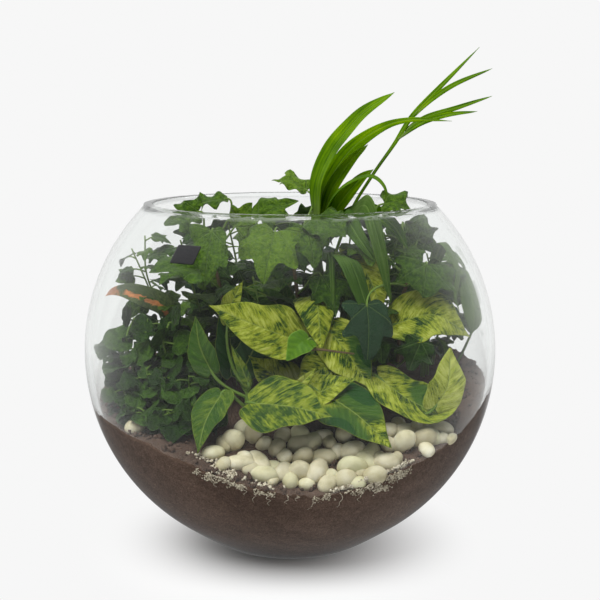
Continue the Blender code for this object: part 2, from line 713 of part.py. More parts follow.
def build_blade(name, points, width, facing, stalk, outline, finish):
    """A strap-shaped leaf: one blade from its foot to its tip."""
    stations, shares = np.array(outline).T
    path = curve_at(points, stations)
    half_widths = np.where(stations < 1, np.maximum(shares * width / 2, stalk), 0)
    half_depths = np.maximum(stalk * (1 - 1.6 * stations), BLADE)
    return loft(name, path, half_widths, half_depths, facing, finish, fold=BLADE_FOLD)


def build_cane_leaves(finish):
    """The palm's leaves: each starts just off the cane and climbs before it arches out."""
    for name, (height, width, facing, points) in CANE_LEAVES.items():
        start, out = stem_side("palm_cane", height, points[0], 1.0)
        climb = start + out * 2 + np.array((0, 0, 5))
        path = (start, climb, *points)
        build_blade(name, path, width, facing, CANE_LEAF_STALK, STRAP, finish)


def build_soil_blades(palm, croton):
    """The leaves that stand in the soil, with the cutters for their sockets."""
    cutters = []
    for name, (root, width, facing, points) in SOIL_BLADES.items():
        finish = croton if name == "croton_leaf" else palm
        build_blade(name, rooted(root, points), width, facing, SOIL_BLADE_STALK, STALKED, finish)
        cutters.append(socket(name + "_socket", root, SOIL_BLADE_STALK + 2 * GAP, finish))
    return cutters


def build_frond(finish):
    """The stalk with its end leaflet, joined to the leaflets that spring from it."""
    start, out = stem_side("palm_cane", FROND_FOOT, FROND_STALK[0], 1.3)
    points = (start, start + out * 3 + np.array((0, 0, 12)), *FROND_STALK)
    stations = np.linspace(0, 1, FROND_STATIONS)
    past = np.clip((stations - FROND_BARE) / (1 - FROND_BARE), 0, 1)
    half_widths = FROND_RADIUS + END_LEAFLET * np.sin(math.pi * past)
    half_widths[-1] = 0
    half_depths = np.where(past > 0, BLADE, FROND_RADIUS)
    path = curve_at(points, stations)
    frond = loft("palm_frond", path, half_widths, half_depths, FROND_FACING, finish)
    leaflets = []
    for number, leaflet in enumerate(FROND_LEAFLETS, 1):
        name = f"palm_leaflet_{number}"
        leaflets.append(
            build_blade(name, leaflet, LEAFLET_WIDTH, FROND_FACING, LEAFLET_STALK, STRAP, finish)
        )
    boolean(frond, "UNION", leaflets)


def build_sprig_leaf(name, stem, outline, lean, place, finish):
    """One leaf of a sprig: a thin stalk from the nearest point of the stem, then the blade."""
    x, y, z, size = place
    stations, widths = np.array(outline).T
    centre = np.array((x, y, z), float)
    nearest = stem[np.argmin(np.linalg.norm(stem - centre, axis=1))]
    along = unit(unit(centre - nearest) + np.array((0, 0, 0.1)))
    blade = centre + along * (stations[:, None] - 0.5) * size
    path = np.vstack((nearest, nearest + (blade[0] - nearest) * 0.7, blade))
    widened = np.where(stations < 1, np.maximum(widths * size / 2, SPRIG_STALK), 0)
    half_widths = np.concatenate(((SPRIG_STALK, SPRIG_STALK), widened))
    half_depths = np.full(len(path), BLADE)
    half_depths[:3] = SPRIG_STALK
    facing = unit(np.array((x, y, 0)) / BOWL_RADIUS + np.array(lean))
    return loft(name, path, half_widths, half_depths, facing, finish, 2)


def build_sprig(name, finish):
    """A sprig: one thin stem, joined to the leaves that stand on short stalks round it."""
    root, outline, lean, points, leaves = SPRIGS[name]
    shares = np.linspace(0, 1, SPRIG_STATIONS)
    path = curve_at(rooted(root, points), shares)
    radii = SPRIG_RADIUS * (1 - SPRIG_TAPER * shares)
    sprig = loft(name, path, radii, radii, (0, -1, 0), finish)
    stem = curve_at(rooted(root, points), np.linspace(0.2, 1, SEARCH_STEPS))
    blades = []
    for number, place in enumerate(leaves, 1):
        leaf = f"{name}_leaf_{number}"
        blades.append(build_sprig_leaf(leaf, stem, outline, lean, place, finish))
    boolean(sprig, "UNION", blades)
    return socket(name + "_socket", root, SPRIG_RADIUS + 2 * GAP, finish)


def main():
    clear_scene()
    finishes = {name: material(name, *look) for name, look in FINISHES.items()}
    build_bowl(finishes["clear_glass"])
    build_label(finishes["black_label"])
    cutters = build_pebbles(finishes["white_pebble"])
    for name in STEMS:
        cutters.append(build_stem(name, finishes["stem"]))
    for name, row in POTHOS_LEAVES.items():
        build_leaf(name, row, HEART, POTHOS_STALK, finishes["marbled_leaf"])
    for name, row in IVY_LEAVES.items():
        build_leaf(name, row, IVY, IVY_STALK, finishes["ivy_leaf"])
    build_cane_leaves(finishes["palm_leaf"])
    build_frond(finishes["palm_leaf"])
    cutters += build_soil_blades(finishes["palm_leaf"], finishes["croton_leaf"])
    for name in SPRIGS:
        leafage = "creeper_leaf" if name.startswith("creeper") else "ivy_leaf"
        cutters.append(build_sprig(name, finishes[leafage]))
    build_soil(finishes["potting_soil"], cutters)


main()
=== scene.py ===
# %% [markdown]
# # A planted glass bowl
#
# The object is a clear round bowl with a cut mouth. It holds a sloping bed of dark soil, a band of
# white pebbles at the front, and a crowd of plants: a marble-leaved pothos, trailing ivy, a young
# palm, a croton, grasses and a small round-leaved creeper.
#
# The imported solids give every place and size. They are plain, so each one is replaced here by a
# surface with the real outline, and each surface gets a finish made of shader nodes. Lengths in the
# tables are millimetres, and become metres where a mesh is made.

# %% Load the solids
import math

import bpy
import numpy as np
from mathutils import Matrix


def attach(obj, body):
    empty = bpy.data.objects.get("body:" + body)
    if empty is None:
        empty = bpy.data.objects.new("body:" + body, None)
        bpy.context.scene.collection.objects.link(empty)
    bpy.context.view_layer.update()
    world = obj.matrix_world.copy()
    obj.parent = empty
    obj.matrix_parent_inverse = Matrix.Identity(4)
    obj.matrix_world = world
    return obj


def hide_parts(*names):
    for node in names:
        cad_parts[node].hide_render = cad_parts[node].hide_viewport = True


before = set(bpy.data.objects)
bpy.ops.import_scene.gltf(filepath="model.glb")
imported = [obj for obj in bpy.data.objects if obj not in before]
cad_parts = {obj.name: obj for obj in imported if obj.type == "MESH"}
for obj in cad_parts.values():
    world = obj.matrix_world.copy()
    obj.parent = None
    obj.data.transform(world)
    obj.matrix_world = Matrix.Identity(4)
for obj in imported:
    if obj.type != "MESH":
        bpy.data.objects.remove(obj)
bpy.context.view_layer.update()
scene = bpy.context.scene
MM = 0.001

# %% [markdown]
# ## Finishes as plain sums
#
# A finish is a small graph of shader nodes. Here a socket that varies over a surface is wrapped as a
# Value, so that Python's own signs add the nodes: along - 0.9 * side makes a Multiply node and a
# Subtract node. That keeps a graph readable from top to bottom. A number that is the same all over
# goes straight onto its socket.


# %% Values and nodes
class Value:
    """A number, direction or colour that a node works out at each place on a surface."""

    def __init__(self, socket):
        self.socket = socket
        self.tree = socket.node.id_data

    def __add__(self, other):
        return calc("ADD", self, other)

    def __sub__(self, other):
        return calc("SUBTRACT", self, other)

    def __rsub__(self, other):
        return calc("SUBTRACT", other, self)

    def __mul__(self, other):
        return calc("MULTIPLY", self, other)

    def __abs__(self):
        return calc("ABSOLUTE", self)

    __radd__ = __add__
    __rmul__ = __mul__


def add_node(tree, kind, inputs=(), **settings):
    """One node: settings are its properties, and inputs pairs each socket with a Value or a number."""
    made = tree.nodes.new("ShaderNode" + kind)
    for name, value in settings.items():
        setattr(made, name, value)
    for name, value in dict(inputs).items():
        if isinstance(value, Value):
            tree.links.new(value.socket, made.inputs[name])
        else:
            made.inputs[name].default_value = value
    return made


def calc(operation, *values):
    """One step of arithmetic. At least one of the values is a Value, and it tells the tree."""
    tree = next(value.tree for value in values if isinstance(value, Value))
    return Value(add_node(tree, "Math", enumerate(values), operation=operation).outputs[0])


def step_up(value, low, high, start=0.0, end=1.0):
    """The start up to low, the end beyond high, and smooth between."""
    inputs = {"Value": value, "From Min": low, "From Max": high, "To Min": start, "To Max": end}
    return Value(add_node(value.tree, "MapRange", inputs, interpolation_type="SMOOTHSTEP").outputs[0])


def noise(vector, scale, detail=3.0, rough=0.55, twist=0.0):
    """Smooth random values, about 0.5, at the points of a vector or of an (x, y, z) of values."""
    if isinstance(vector, tuple):
        x, y, z = vector
        vector = Value(add_node(x.tree, "CombineXYZ", {"X": x, "Y": y, "Z": z}).outputs[0])
    inputs = {"Vector": vector, "Scale": scale, "Detail": detail, "Roughness": rough, "Distortion": twist}
    return Value(add_node(vector.tree, "TexNoise", inputs).outputs[0])


def ramp(factor, *stops):
    """Colours at places from 0 to 1."""
    made = add_node(factor.tree, "ValToRGB", {"Fac": factor})
    while len(made.color_ramp.elements) < len(stops):
        made.color_ramp.elements.new(0.5)
    for element, (place, colour) in zip(made.color_ramp.elements, stops):
        element.position = place
        element.color = (*colour, 1.0)
    return Value(made.outputs[0])


def blend(share, first, second):
    """The first colour with a share of the second mixed in. The second may be plain (r, g, b)."""
    second = second if isinstance(second, Value) else (*second, 1.0)
    made = add_node(share.tree, "Mix", data_type="RGBA")
    for place, value in ((0, share), (6, first), (7, second)):
        if isinstance(value, Value):
            share.tree.links.new(value.socket, made.inputs[place])
        else:
            made.inputs[place].default_value = value
    return Value(made.outputs[2])


def parts_of(vector):
    """The x, y and z of a vector."""
    return [Value(part) for part in add_node(vector.tree, "SeparateXYZ", {"Vector": vector}).outputs]


def coordinates(tree, kind="Object"):
    """Where a point is, on the piece's own axes unless another kind is named."""
    return Value(add_node(tree, "TexCoord").outputs[kind])


def kinds_of_ray(tree):
    """For each kind of ray, by name: 1 when the surface is met by a ray of that kind, and 0 if not."""
    return {socket.name: Value(socket) for socket in add_node(tree, "LightPath").outputs}


# %% Shaders
def new_finish(name, **sockets):
    """A material and its Principled shader, whose sockets are set by name."""
    made = bpy.data.materials.new(name)
    made.use_nodes = True
    shader = made.node_tree.nodes["Principled BSDF"]
    for socket, value in sockets.items():
        shader.inputs[socket.replace("_", " ")].default_value = value
    return made, shader


def mix_shaders(share, first, second):
    """Makes the surface a mix of two shaders, with this share of the second."""
    tree = first.id_data
    made = add_node(tree, "MixShader", {"Fac": share})
    for place, shader in ((1, first), (2, second)):
        tree.links.new(shader.outputs[0], made.inputs[place])
    tree.links.new(made.outputs[0], tree.nodes["Material Output"].inputs["Surface"])


def paint(shader, colour):
    """Gives a shader its colour."""
    colour.tree.links.new(colour.socket, shader.inputs["Base Color"])


def raise_by(shader, height, strength, distance):
    """Bump from a height."""
    inputs = {"Height": height, "Strength": strength, "Distance": distance}
    bump = add_node(height.tree, "Bump", inputs)
    height.tree.links.new(bump.outputs[0], shader.inputs["Normal"])


def glow_through(shader, share):
    """A thin leaf passes light: a share of its surface is a translucent one of the same colour."""
    colour = Value(shader.inputs["Base Color"].links[0].from_socket)
    mix_shaders(share, shader, add_node(colour.tree, "BsdfTranslucent", {"Color": colour}))


def place_on_leaf(shader):
    """What a leaf's mesh carries: (along, across, seed) in centimetres and (edge, tone, share)."""
    found = []
    for name in ("leaf", "look"):
        found += parts_of(Value(add_node(shader.id_data, "Attribute", attribute_name=name).outputs["Vector"]))
    return found


print("node helpers ready")

# %% [markdown]
# ## The studio
#
# A glass bowl shows whatever stands round it, and a blank white room would turn it into a milky ball.
# So the world is white only behind the bowl and high above it, and dim elsewhere and low down. How
# dim depends on what meets it: glass that mirrors the room, glass that is looked through, or leaves.
# What the camera sees past the bowl is plain white. A wide sun above gives the leaves some shape and
# puts a soft shadow under the bowl.

# %% Camera
EYE = (0.0072, -1.1, 0.3414)
TILT = math.radians(8.25)

camera_data = bpy.data.cameras.new("camera")
camera_data.sensor_width = 36.0
camera_data.lens = 90.9
camera = bpy.data.objects.new("camera", camera_data)
camera.location = EYE
camera.rotation_euler = (math.pi / 2 - TILT, 0.0, 0.0)
scene.collection.objects.link(camera)
scene.camera = camera
scene.view_settings.view_transform = "Standard"
print("lens:", camera_data.lens)

# %% Room
WORLD_LIGHT = 0.93
# the dim room's light where glass mirrors it, where it is seen through glass, and on leaves
MIRRORED, THROUGH_GLASS, ON_LEAVES = 0.12, 0.50, 0.24
# the share of the world's light that matt surfaces keep, so that the sun gives the leaves their shape
SHAPING = 0.55
DIM_BELOW = 0.2
# where each fade starts and ends, as a direction's share of straight back or straight up
BACK_FADE, TOP_FADE, LOW_FADE = (-0.25, 0.45), (0.62, 0.96), (-0.34, -0.12)

world = bpy.data.worlds.new("white_tent")
world.use_nodes = True
tree = world.node_tree
background = tree.nodes["Background"]
background.inputs["Color"].default_value = (1.0, 1.0, 1.0, 1.0)
ray = kinds_of_ray(tree)
room = MIRRORED + (THROUGH_GLASS - MIRRORED) * ray["Is Transmission Ray"]
room = room + (ON_LEAVES - MIRRORED) * ray["Is Diffuse Ray"]
room = room + (WORLD_LIGHT - MIRRORED) * ray["Is Camera Ray"]
_, back, up = parts_of(coordinates(tree, "Generated"))
behind = step_up(back, *BACK_FADE, room, WORLD_LIGHT)
above = step_up(up, *TOP_FADE, room, WORLD_LIGHT)
strength = calc("MAXIMUM", behind, above) * step_up(up, *LOW_FADE, DIM_BELOW, 1.0)
strength = strength * (1.0 + (SHAPING - 1) * ray["Is Diffuse Ray"])
tree.links.new(strength.socket, background.inputs["Strength"])
scene.world = world
print("world light:", WORLD_LIGHT)

# %% Sun
SUN_LIGHT = 4.0
SUN_FROM = (-0.25, -0.42, 1.0)
SUN_WIDTH = math.radians(50)

sun_data = bpy.data.lights.new("soft_sun", "SUN")
sun_data.energy = SUN_LIGHT
sun_data.angle = SUN_WIDTH
sun = bpy.data.objects.new("soft_sun", sun_data)
sun.visible_glossy = False
sun.visible_transmission = False
towards = np.array(SUN_FROM) / np.linalg.norm(SUN_FROM)
sun.rotation_euler = (math.acos(towards[2]), 0.0, math.atan2(towards[0], -towards[1]))
scene.collection.objects.link(sun)
print("sun from", towards.round(2))

# %% [markdown]
# ## Surfaces as grids
#
# Every piece is a grid of points: rows run one way over the surface and columns the other. A closed
# piece has columns that come round to their start, and a point or a flat cap at each end. numpy
# works out all the points at once, and from_pydata puts them into a mesh. Several closed grids, such
# as a leaf and its stalk, can be one piece.


# %% Curves
def unit(vector):
    """A direction: the vector over its length."""
    vector = np.asarray(vector, float)
    return vector / np.linalg.norm(vector, axis=-1, keepdims=True)


def turns(count):
    """Angles spread evenly round a full turn."""
    return np.arange(count) * 2 * math.pi / count


def spun(first, second, angle):
    """Two coordinates turned in their plane: (a cos t - b sin t, a sin t + b cos t)."""
    return first * np.cos(angle) - second * np.sin(angle), first * np.sin(angle) + second * np.cos(angle)


def squared(values, power):
    """Values from -1 to 1 raised to a power with their sign kept, which squares off a circle."""
    return np.sign(values) * np.abs(values) ** power


def read_at(places, stations, values):
    """Each column of values at some places, on straight lines between the stations."""
    return np.stack([np.interp(places, stations, column) for column in values.T], -1)


def distance_along(path):
    """How far along a path each of its points is: the sum of the steps up to it."""
    return np.concatenate(([0], np.cumsum(np.linalg.norm(np.diff(path, axis=0), axis=1))))


def curve_at(points, shares):
    """Points at shares of the length of a smooth curve (Catmull-Rom) through the given points.

    Between two points b and c with neighbours a and d, the curve is half of
    2b + (c-a)t + (2a-5b+4c-d)t^2 + (3b-a-3c+d)t^3, with t from 0 to 1.
    """
    knots = np.asarray(points, float)
    knots = np.vstack((2 * knots[0] - knots[1], knots, 2 * knots[-1] - knots[-2]))
    a, b, c, d = (knots[i : len(knots) - 3 + i, None] for i in range(4))
    t = np.linspace(0, 1, 24, endpoint=False)[None, :, None]
    bend = 2 * a - 5 * b + 4 * c - d
    swing = 3 * b - a - 3 * c + d
    dense = 0.5 * (2 * b + (c - a) * t + bend * t**2 + swing * t**3)
    dense = np.vstack((dense.reshape(-1, knots.shape[1]), knots[-2]))
    run = distance_along(dense)
    return read_at(np.asarray(shares) * run[-1], run, dense)


def frames_along(path, facing):
    """Forward, sideways and upward directions on a path, turned as little as possible on the way."""
    forward = unit(np.gradient(path, axis=0))
    sideways = np.zeros_like(path)
    sideways[0] = unit(np.cross(forward[0], facing))
    for i in range(1, len(path)):
        sideways[i] = unit(sideways[i - 1] - forward[i] * (sideways[i - 1] @ forward[i]))
    return forward, sideways, np.cross(sideways, forward)


def ripple(points, size, seed):
    """A smooth random height in about -1..1: the mean of eight sine waves in random directions.

    Each wave is sin(points . direction / size + phase), with directions up to twice as tight.
    """
    rng = np.random.default_rng(seed)
    turn = rng.normal(size=(8, 3))
    turn = unit(turn) * rng.uniform(0.7, 2.0, (8, 1)) * 2 * math.pi / size
    phase = rng.uniform(0, 2 * math.pi, 8)
    return np.sin(points @ turn.T + phase).mean(axis=-1) * 1.8


# %% Closed grids
def shell(rings, first, last):
    """A closed grid: rings of columns that come round to their start, and a point at each end."""
    rows, columns = rings.shape[:2]
    points = np.vstack((rings.reshape(-1, 3), first, last))
    j = np.arange(columns)
    k = (j + 1) % columns
    start = np.arange(rows - 1)[:, None] * columns
    quads = np.stack((start + j, start + k, start + columns + k, start + columns + j), -1)
    quads = quads.reshape(-1, 4)
    low = np.stack((k, j, np.full(columns, rows * columns)), -1)
    base = (rows - 1) * columns
    high = np.stack((base + j, base + k, np.full(columns, rows * columns + 1)), -1)
    return points, quads, np.vstack((low, high))


def turned_out(points, quads, fans):
    """The same faces, in the order that points them outwards: the volume they close is positive."""
    triangles = np.vstack((quads[:, :3], quads[:, (0, 2, 3)], fans))
    a, b, c = (points[triangles[:, i]] - points[0] for i in range(3))
    if np.einsum("ij,ij->i", a, np.cross(b, c)).sum() < 0:
        return quads[:, ::-1], fans[:, ::-1]
    return quads, fans


# %% Pieces
def add_piece(name, parts, finishes, nodes=()):
    """One object from closed parts, each a shell with its leaf and look values and finish number."""
    points, faces, leaf, look, numbers, base = [], [], [], [], [], 0
    for part in parts:
        quads, fans = turned_out(*part["shell"])
        count = len(part["shell"][0])
        points.append(part["shell"][0])
        faces += (quads + base).tolist() + (fans + base).tolist()
        leaf.append(np.broadcast_to(part.get("leaf", (0, 0, 0)), (count, 3)))
        look.append(np.broadcast_to(part.get("look", (0, 0, 0)), (count, 3)))
        numbers += [part.get("finish", 0)] * (len(quads) + len(fans))
        base += count
    mesh = bpy.data.meshes.new(name)
    mesh.from_pydata((np.vstack(points) * MM).tolist(), [], faces)
    for title, values in (("leaf", leaf), ("look", look)):
        layer = mesh.attributes.new(title, "FLOAT_VECTOR", "POINT")
        layer.data.foreach_set("vector", np.vstack(values).astype(np.float32).ravel())
    for finish in finishes:
        mesh.materials.append(finish)
    mesh.polygons.foreach_set("material_index", numbers)
    mesh.polygons.foreach_set("use_smooth", [True] * len(faces))
    mesh.update()
    piece = bpy.data.objects.new(name, mesh)
    scene.collection.objects.link(piece)
    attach(piece, "root")
    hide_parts(*nodes)
    return piece


def tube(path, radii, around=10, finish=0, seed=0.0):
    """A round tube: at each point of a path, a circle of that radius square to the path."""
    path = np.asarray(path, float)
    radii = np.broadcast_to(np.asarray(radii, float), len(path))
    forward, sideways, upward = frames_along(path, (0, -1, 0))
    turn = turns(around)
    circle = np.cos(turn)[None, :, None] * sideways[:, None] + np.sin(turn)[None, :, None] * upward[:, None]
    rings = path[:, None] + circle * radii[:, None, None]
    ends = path[0] - forward[0] * radii[0] * 0.5, path[-1] + forward[-1] * radii[-1] * 0.7
    run = distance_along(path)[:, None] / 10
    values = np.stack(np.broadcast_arrays(run, turn * radii[:, None] / 10, seed), -1)
    values = np.vstack((values.reshape(-1, 3), values[0, :1], values[-1, :1]))
    return {"shell": shell(rings, *ends), "leaf": values, "finish": finish}


print("grid helpers ready")

# %% [markdown]
# ## The floor
#
# The floor is a wide disc at the height that the bowl stands on. It isn't part of the object. Near
# the foot it is a plain matt surface that takes the bowl's shadow. Out from there, over an oval round
# the foot, it fades into a painted glow as bright as the world behind. This painted light lightens the
# outer part of the shadow, so that the shadow stays inside the oval, and no horizon shows.

# %% Floor
FLOOR_TONE = 0.79
FLOOR_RADIUS = 4.0
FLOOR_DROP = 0.0001
FLOOR_SIDES = 96
# where the painted glow takes over from the shadow: the oval's middle and stretch, and how far out the glow
# starts and is full, in metres
SHADOW_OVAL = {"Location": (0.008, 0, 0), "Scale": (1.12, 0.84, 1.0)}
SHADOW_FADE = (0.020, 0.170)

floor_finish, shader = new_finish("pale_floor", Roughness=1.0, Specular_IOR_Level=0.0)
tree = shader.id_data
where = coordinates(tree)
darker, lighter = ((FLOOR_TONE * part,) * 3 for part in (0.998, 1.002))
paint(shader, ramp(noise(where, 40.0, 2.0), (0.0, darker), (1.0, lighter)))
# painted light: the floor glows more the further it is from the foot, which keeps the real shadow inside the
# oval
oval = Value(add_node(tree, "Mapping", {"Vector": where, **SHADOW_OVAL}).outputs[0])
away = Value(add_node(tree, "VectorMath", {0: oval}, operation="LENGTH").outputs["Value"])
glow = add_node(tree, "Emission", {"Color": (1.0, 1.0, 1.0, 1.0), "Strength": WORLD_LIGHT})
mix_shaders(step_up(away, *SHADOW_FADE), shader, glow)

corners = [(FLOOR_RADIUS * math.cos(t), FLOOR_RADIUS * math.sin(t), -FLOOR_DROP) for t in turns(FLOOR_SIDES)]
floor_mesh = bpy.data.meshes.new("floor")
floor_mesh.from_pydata(corners, [], [tuple(range(FLOOR_SIDES))])
floor_mesh.materials.append(floor_finish)
floor = bpy.data.objects.new("floor", floor_mesh)
floor.visible_glossy = False
scene.collection.objects.link(floor)
print("floor ready")

# %% [markdown]
# ## The glass bowl
#
# A bowl like this is blown into a round mould, and its mouth is cut off and fire-polished, which
# rounds the lip. It is a turned shape, so its surface is a profile carried round an axis: down the
# outside from the lip, across the small flat foot, and up the inside. The wall is 4.5 mm thick and
# the floor 7 mm.
#
# Glass is almost only reflection and refraction. It is a little grey-green where a ray runs a long
# way in it, at the sides of the bowl and in the lip, so a faint absorption fills it. The soil and
# leaves inside have to be lit: light that goes to them passes straight through the wall. Close to
# the cut mouth some of every ray goes straight through, so that the lip doesn't turn black.

# %% Bowl shape
BOWL_RADIUS = 150.0
GLASS = 4.5
FLOOR_GLASS = 7.0
CENTRE_HEIGHT = 146.0
RIM_HEIGHT = 253.7
LIP_ROUNDING = 1.9
LIP_SQUARENESS = 0.4
LIP_STEPS = 21
INNER_RADIUS = BOWL_RADIUS - GLASS
AROUND = 240
# how far below the centre the side leaves the sphere, the height of the flat and its radius
OUTER_FOOT = (125.0, 0.0, 44.0)
INNER_FOOT = (128.0, FLOOR_GLASS, 30.0)


def wall_profile(radius, drop, flat_height, flat_radius, steps=110):
    """(radius, height) down a sphere's side from the rim, then along a curve to a flat disc.

    The side is radius * (cos, sin) of the elevation; the curve is a parabola that leaves the side
    along its tangent and meets the flat along its own.
    """
    top = RIM_HEIGHT - LIP_ROUNDING - CENTRE_HEIGHT
    angles = np.linspace(math.asin(top / radius), -math.asin(drop / radius), steps)
    side = np.column_stack((radius * np.cos(angles), CENTRE_HEIGHT + radius * np.sin(angles)))
    leave = side[-1]
    corner = np.array((leave[0] - drop / leave[0] * (leave[1] - flat_height), flat_height))
    t = np.linspace(0, 1, 12)[1:, None]
    flat = np.array((flat_radius, flat_height))
    return np.vstack((side, leave * (1 - t) ** 2 + 2 * corner * t * (1 - t) + flat * t**2))


def turned(profile, around):
    """A profile of (radius, height) carried once round the upright axis."""
    x = profile[:, :1] * np.cos(turns(around))
    y = profile[:, :1] * np.sin(turns(around))
    return np.stack((x, y, np.broadcast_to(profile[:, 1:], x.shape)), -1)


outer_wall = wall_profile(BOWL_RADIUS, *OUTER_FOOT)
inner_wall = wall_profile(INNER_RADIUS, *INNER_FOOT)
lip_turn = np.linspace(math.pi, 0, LIP_STEPS)[1:-1]
lip_middle = (outer_wall[0, 0] + inner_wall[0, 0]) / 2
lip_half = (outer_wall[0, 0] - inner_wall[0, 0]) / 2
lip_radius = lip_middle + lip_half * squared(np.cos(lip_turn), LIP_SQUARENESS)
lip_height = RIM_HEIGHT - LIP_ROUNDING * (1 - np.sin(lip_turn) ** LIP_SQUARENESS)
lip = np.column_stack((lip_radius, lip_height))
profile = np.vstack((inner_wall[::-1], lip, outer_wall))

# %% Glass finish
GLASS_COLOUR = {"Color": (0.99, 0.995, 0.992, 1.0), "Roughness": 0.0, "IOR": 1.34}
PASSING_COLOUR = {"Color": (0.97, 0.98, 0.975, 1.0)}
ABSORPTION = {"Color": (0.72, 0.76, 0.73, 1.0), "Density": 11.0}
# painted light at the lip: from this height up, in metres, a share of every ray goes straight through unbent,
# so the lip isn't darkened by refracting the dim room
LIP_LIGHTENING_FROM, LIP_LIGHTENING_TO, LIP_LIGHTENING_SHARE = 0.2480, 0.2525, 0.30

glass, shader = new_finish("clear_glass")
tree = shader.id_data
tree.nodes.remove(shader)
clear = add_node(tree, "BsdfGlass", GLASS_COLOUR)
passing = add_node(tree, "BsdfTransparent", PASSING_COLOUR)
ray = kinds_of_ray(tree)
height = parts_of(coordinates(tree))[2]
# the lip's painted lightening: a share of straight passing near the mouth
lip_lightening = LIP_LIGHTENING_SHARE * step_up(height, LIP_LIGHTENING_FROM, LIP_LIGHTENING_TO)
lit_through = calc("MAXIMUM", ray["Is Shadow Ray"], ray["Is Diffuse Ray"])
mix_shaders(calc("MAXIMUM", lit_through, lip_lightening), clear, passing)
body = add_node(tree, "VolumeAbsorption", ABSORPTION)
tree.links.new(body.outputs[0], tree.nodes["Material Output"].inputs["Volume"])

bowl_shell = shell(turned(profile, AROUND), (0, 0, FLOOR_GLASS), (0, 0, 0))
bowl = add_piece("blown_bowl", [{"shell": bowl_shell}], [glass], ["glass_bowl"])
print("bowl: lip radius", round(lip_middle, 1), "faces", len(bowl.data.polygons))

# %% [markdown]
# ## The label
#
# A small dark sticker sits high on the left of the glass. It is blank: a black film with rounded
# corners, so it is a patch of a slightly larger sphere with a little thickness.

# %% Label
# degrees on the bowl: the middle of the patch, its half-sizes, and how far its top leans
LABEL_TURN, LABEL_RISE = -122.75, 32.8
LABEL_HALF_WIDTH, LABEL_HALF_HEIGHT, LABEL_LEAN = 4.3, 2.6, 0.4
# millimetres off the glass: the film's outer and inner face
LABEL_OUTSIDE, LABEL_INSIDE = 0.9, 0.3
LABEL_ROWS, LABEL_COLUMNS = 12, 48
LABEL_SQUARENESS = 0.08

film, shader = new_finish("black_film", Roughness=0.42, Coat_Weight=0.25, Coat_Roughness=0.2)
grain = noise(coordinates(shader.id_data), 900.0, 3.0)
paint(shader, ramp(grain, (0.3, (0.010, 0.010, 0.011)), (0.7, (0.022, 0.022, 0.024))))
raise_by(shader, grain, 0.15, 0.0003)


def on_ball(rise, turn):
    """A direction: (cos rise cos turn, cos rise sin turn, sin rise)."""
    level = np.cos(rise)
    return np.stack(np.broadcast_arrays(level * np.cos(turn), level * np.sin(turn), np.sin(rise)), -1)


turn = turns(LABEL_COLUMNS)
square = squared(np.stack((np.cos(turn), np.sin(turn)), -1), LABEL_SQUARENESS)
square /= np.abs(square).max()
outwards = np.linspace(0.1, 1, LABEL_ROWS)
reach = np.concatenate((outwards, outwards[::-1]))[:, None, None]
height = np.repeat((LABEL_OUTSIDE, LABEL_INSIDE), LABEL_ROWS)[:, None, None]
flat = square * reach
turn = np.radians(LABEL_TURN + LABEL_HALF_WIDTH * flat[..., 0] + LABEL_LEAN * flat[..., 1])
rise = np.radians(LABEL_RISE + LABEL_HALF_HEIGHT * flat[..., 1])
patch = (0, 0, CENTRE_HEIGHT) + on_ball(rise, turn) * (BOWL_RADIUS + height)
ends = patch[0].mean(axis=0), patch[-1].mean(axis=0)
add_piece("blank_sticker", [{"shell": shell(patch, *ends)}], [film], ["blank_label"])
print("label ready")

# %% [markdown]
# ## The soil
#
# The bed is a closed body: a rough top that slopes down to the front, and a side that lies against
# the glass. The top is a polar grid. Its height is a tilted plane less two bell-shaped hollows, plus
# fine lumps that die out at the glass. The side follows the inner wall down to the floor.
#
# Moist potting soil is dark and grainy, with a few pale flecks. Seen through
# the wall it is a smooth face of fine grains, with faint slanting layers from filling.

# %% Soil shape
SOIL_PRESS = 0.5
SOIL_LEVEL, RISE_TO_RIGHT, RISE_TO_BACK = 120.0, 0.05, 0.10
# centre x and y, reach x and y, depth
HOLLOWS = ((25.0, -125.0, 98.0, 47.0, 40.0), (108.0, -82.0, 38.0, 38.0, 12.0))
SOIL_COLUMNS = 220
TOP_ROWS, SIDE_ROWS = 64, 46
SPHERE_MIDDLE = np.array((0.0, 0.0, CENTRE_HEIGHT))


def soil_height(x, y):
    """The bed's height: a tilted plane, less a bell of each hollow's depth and reach."""
    height = SOIL_LEVEL + RISE_TO_RIGHT * x + RISE_TO_BACK * y
    for centre_x, centre_y, reach_x, reach_y, depth in HOLLOWS:
        away = ((x - centre_x) / reach_x) ** 2 + ((y - centre_y) / reach_y) ** 2
        height = height - depth * np.exp(-away)
    return height


def soil_reach(wall, ring, crumble):
    """How far out the top meets the wall: at each column the span is halved forty times."""
    low, high = np.full(len(ring), 75.0), np.full(len(ring), 150.0)
    for _ in range(40):
        middle = (low + high) / 2
        inside = middle < np.interp(soil_height(*(ring.T * middle)) + crumble, wall[:, 1], wall[:, 0])
        low, high = np.where(inside, middle, low), np.where(inside, high, middle)
    return low


profile_middle = SPHERE_MIDDLE[1:]
wall = profile_middle + (inner_wall[::-1] - profile_middle) * (1 + SOIL_PRESS / INNER_RADIUS)
ring = np.column_stack((np.cos(turns(SOIL_COLUMNS)), np.sin(turns(SOIL_COLUMNS))))
at_wall = np.column_stack((ring * 145, np.zeros(SOIL_COLUMNS)))
crumble = ripple(at_wall, 16.0, 5) * 1.3 + ripple(at_wall, 5.0, 6) * 0.8
reach = soil_reach(wall, ring, crumble)
share = np.linspace(0.02, 1, TOP_ROWS)[:, None]
x, y = share * reach * ring[:, 0], share * reach * ring[:, 1]
spots = np.stack((x, y, np.zeros_like(x)), -1)
lumps = ripple(spots, 30.0, 1) * 1.2 + ripple(spots, 11.0, 2) * 0.8 + ripple(spots, 5.0, 3) * 0.5
fade = np.clip((1 - share) * 9, 0, 1)
top = np.stack((x, y, soil_height(x, y) + lumps * fade + crumble * (1 - fade)), -1)

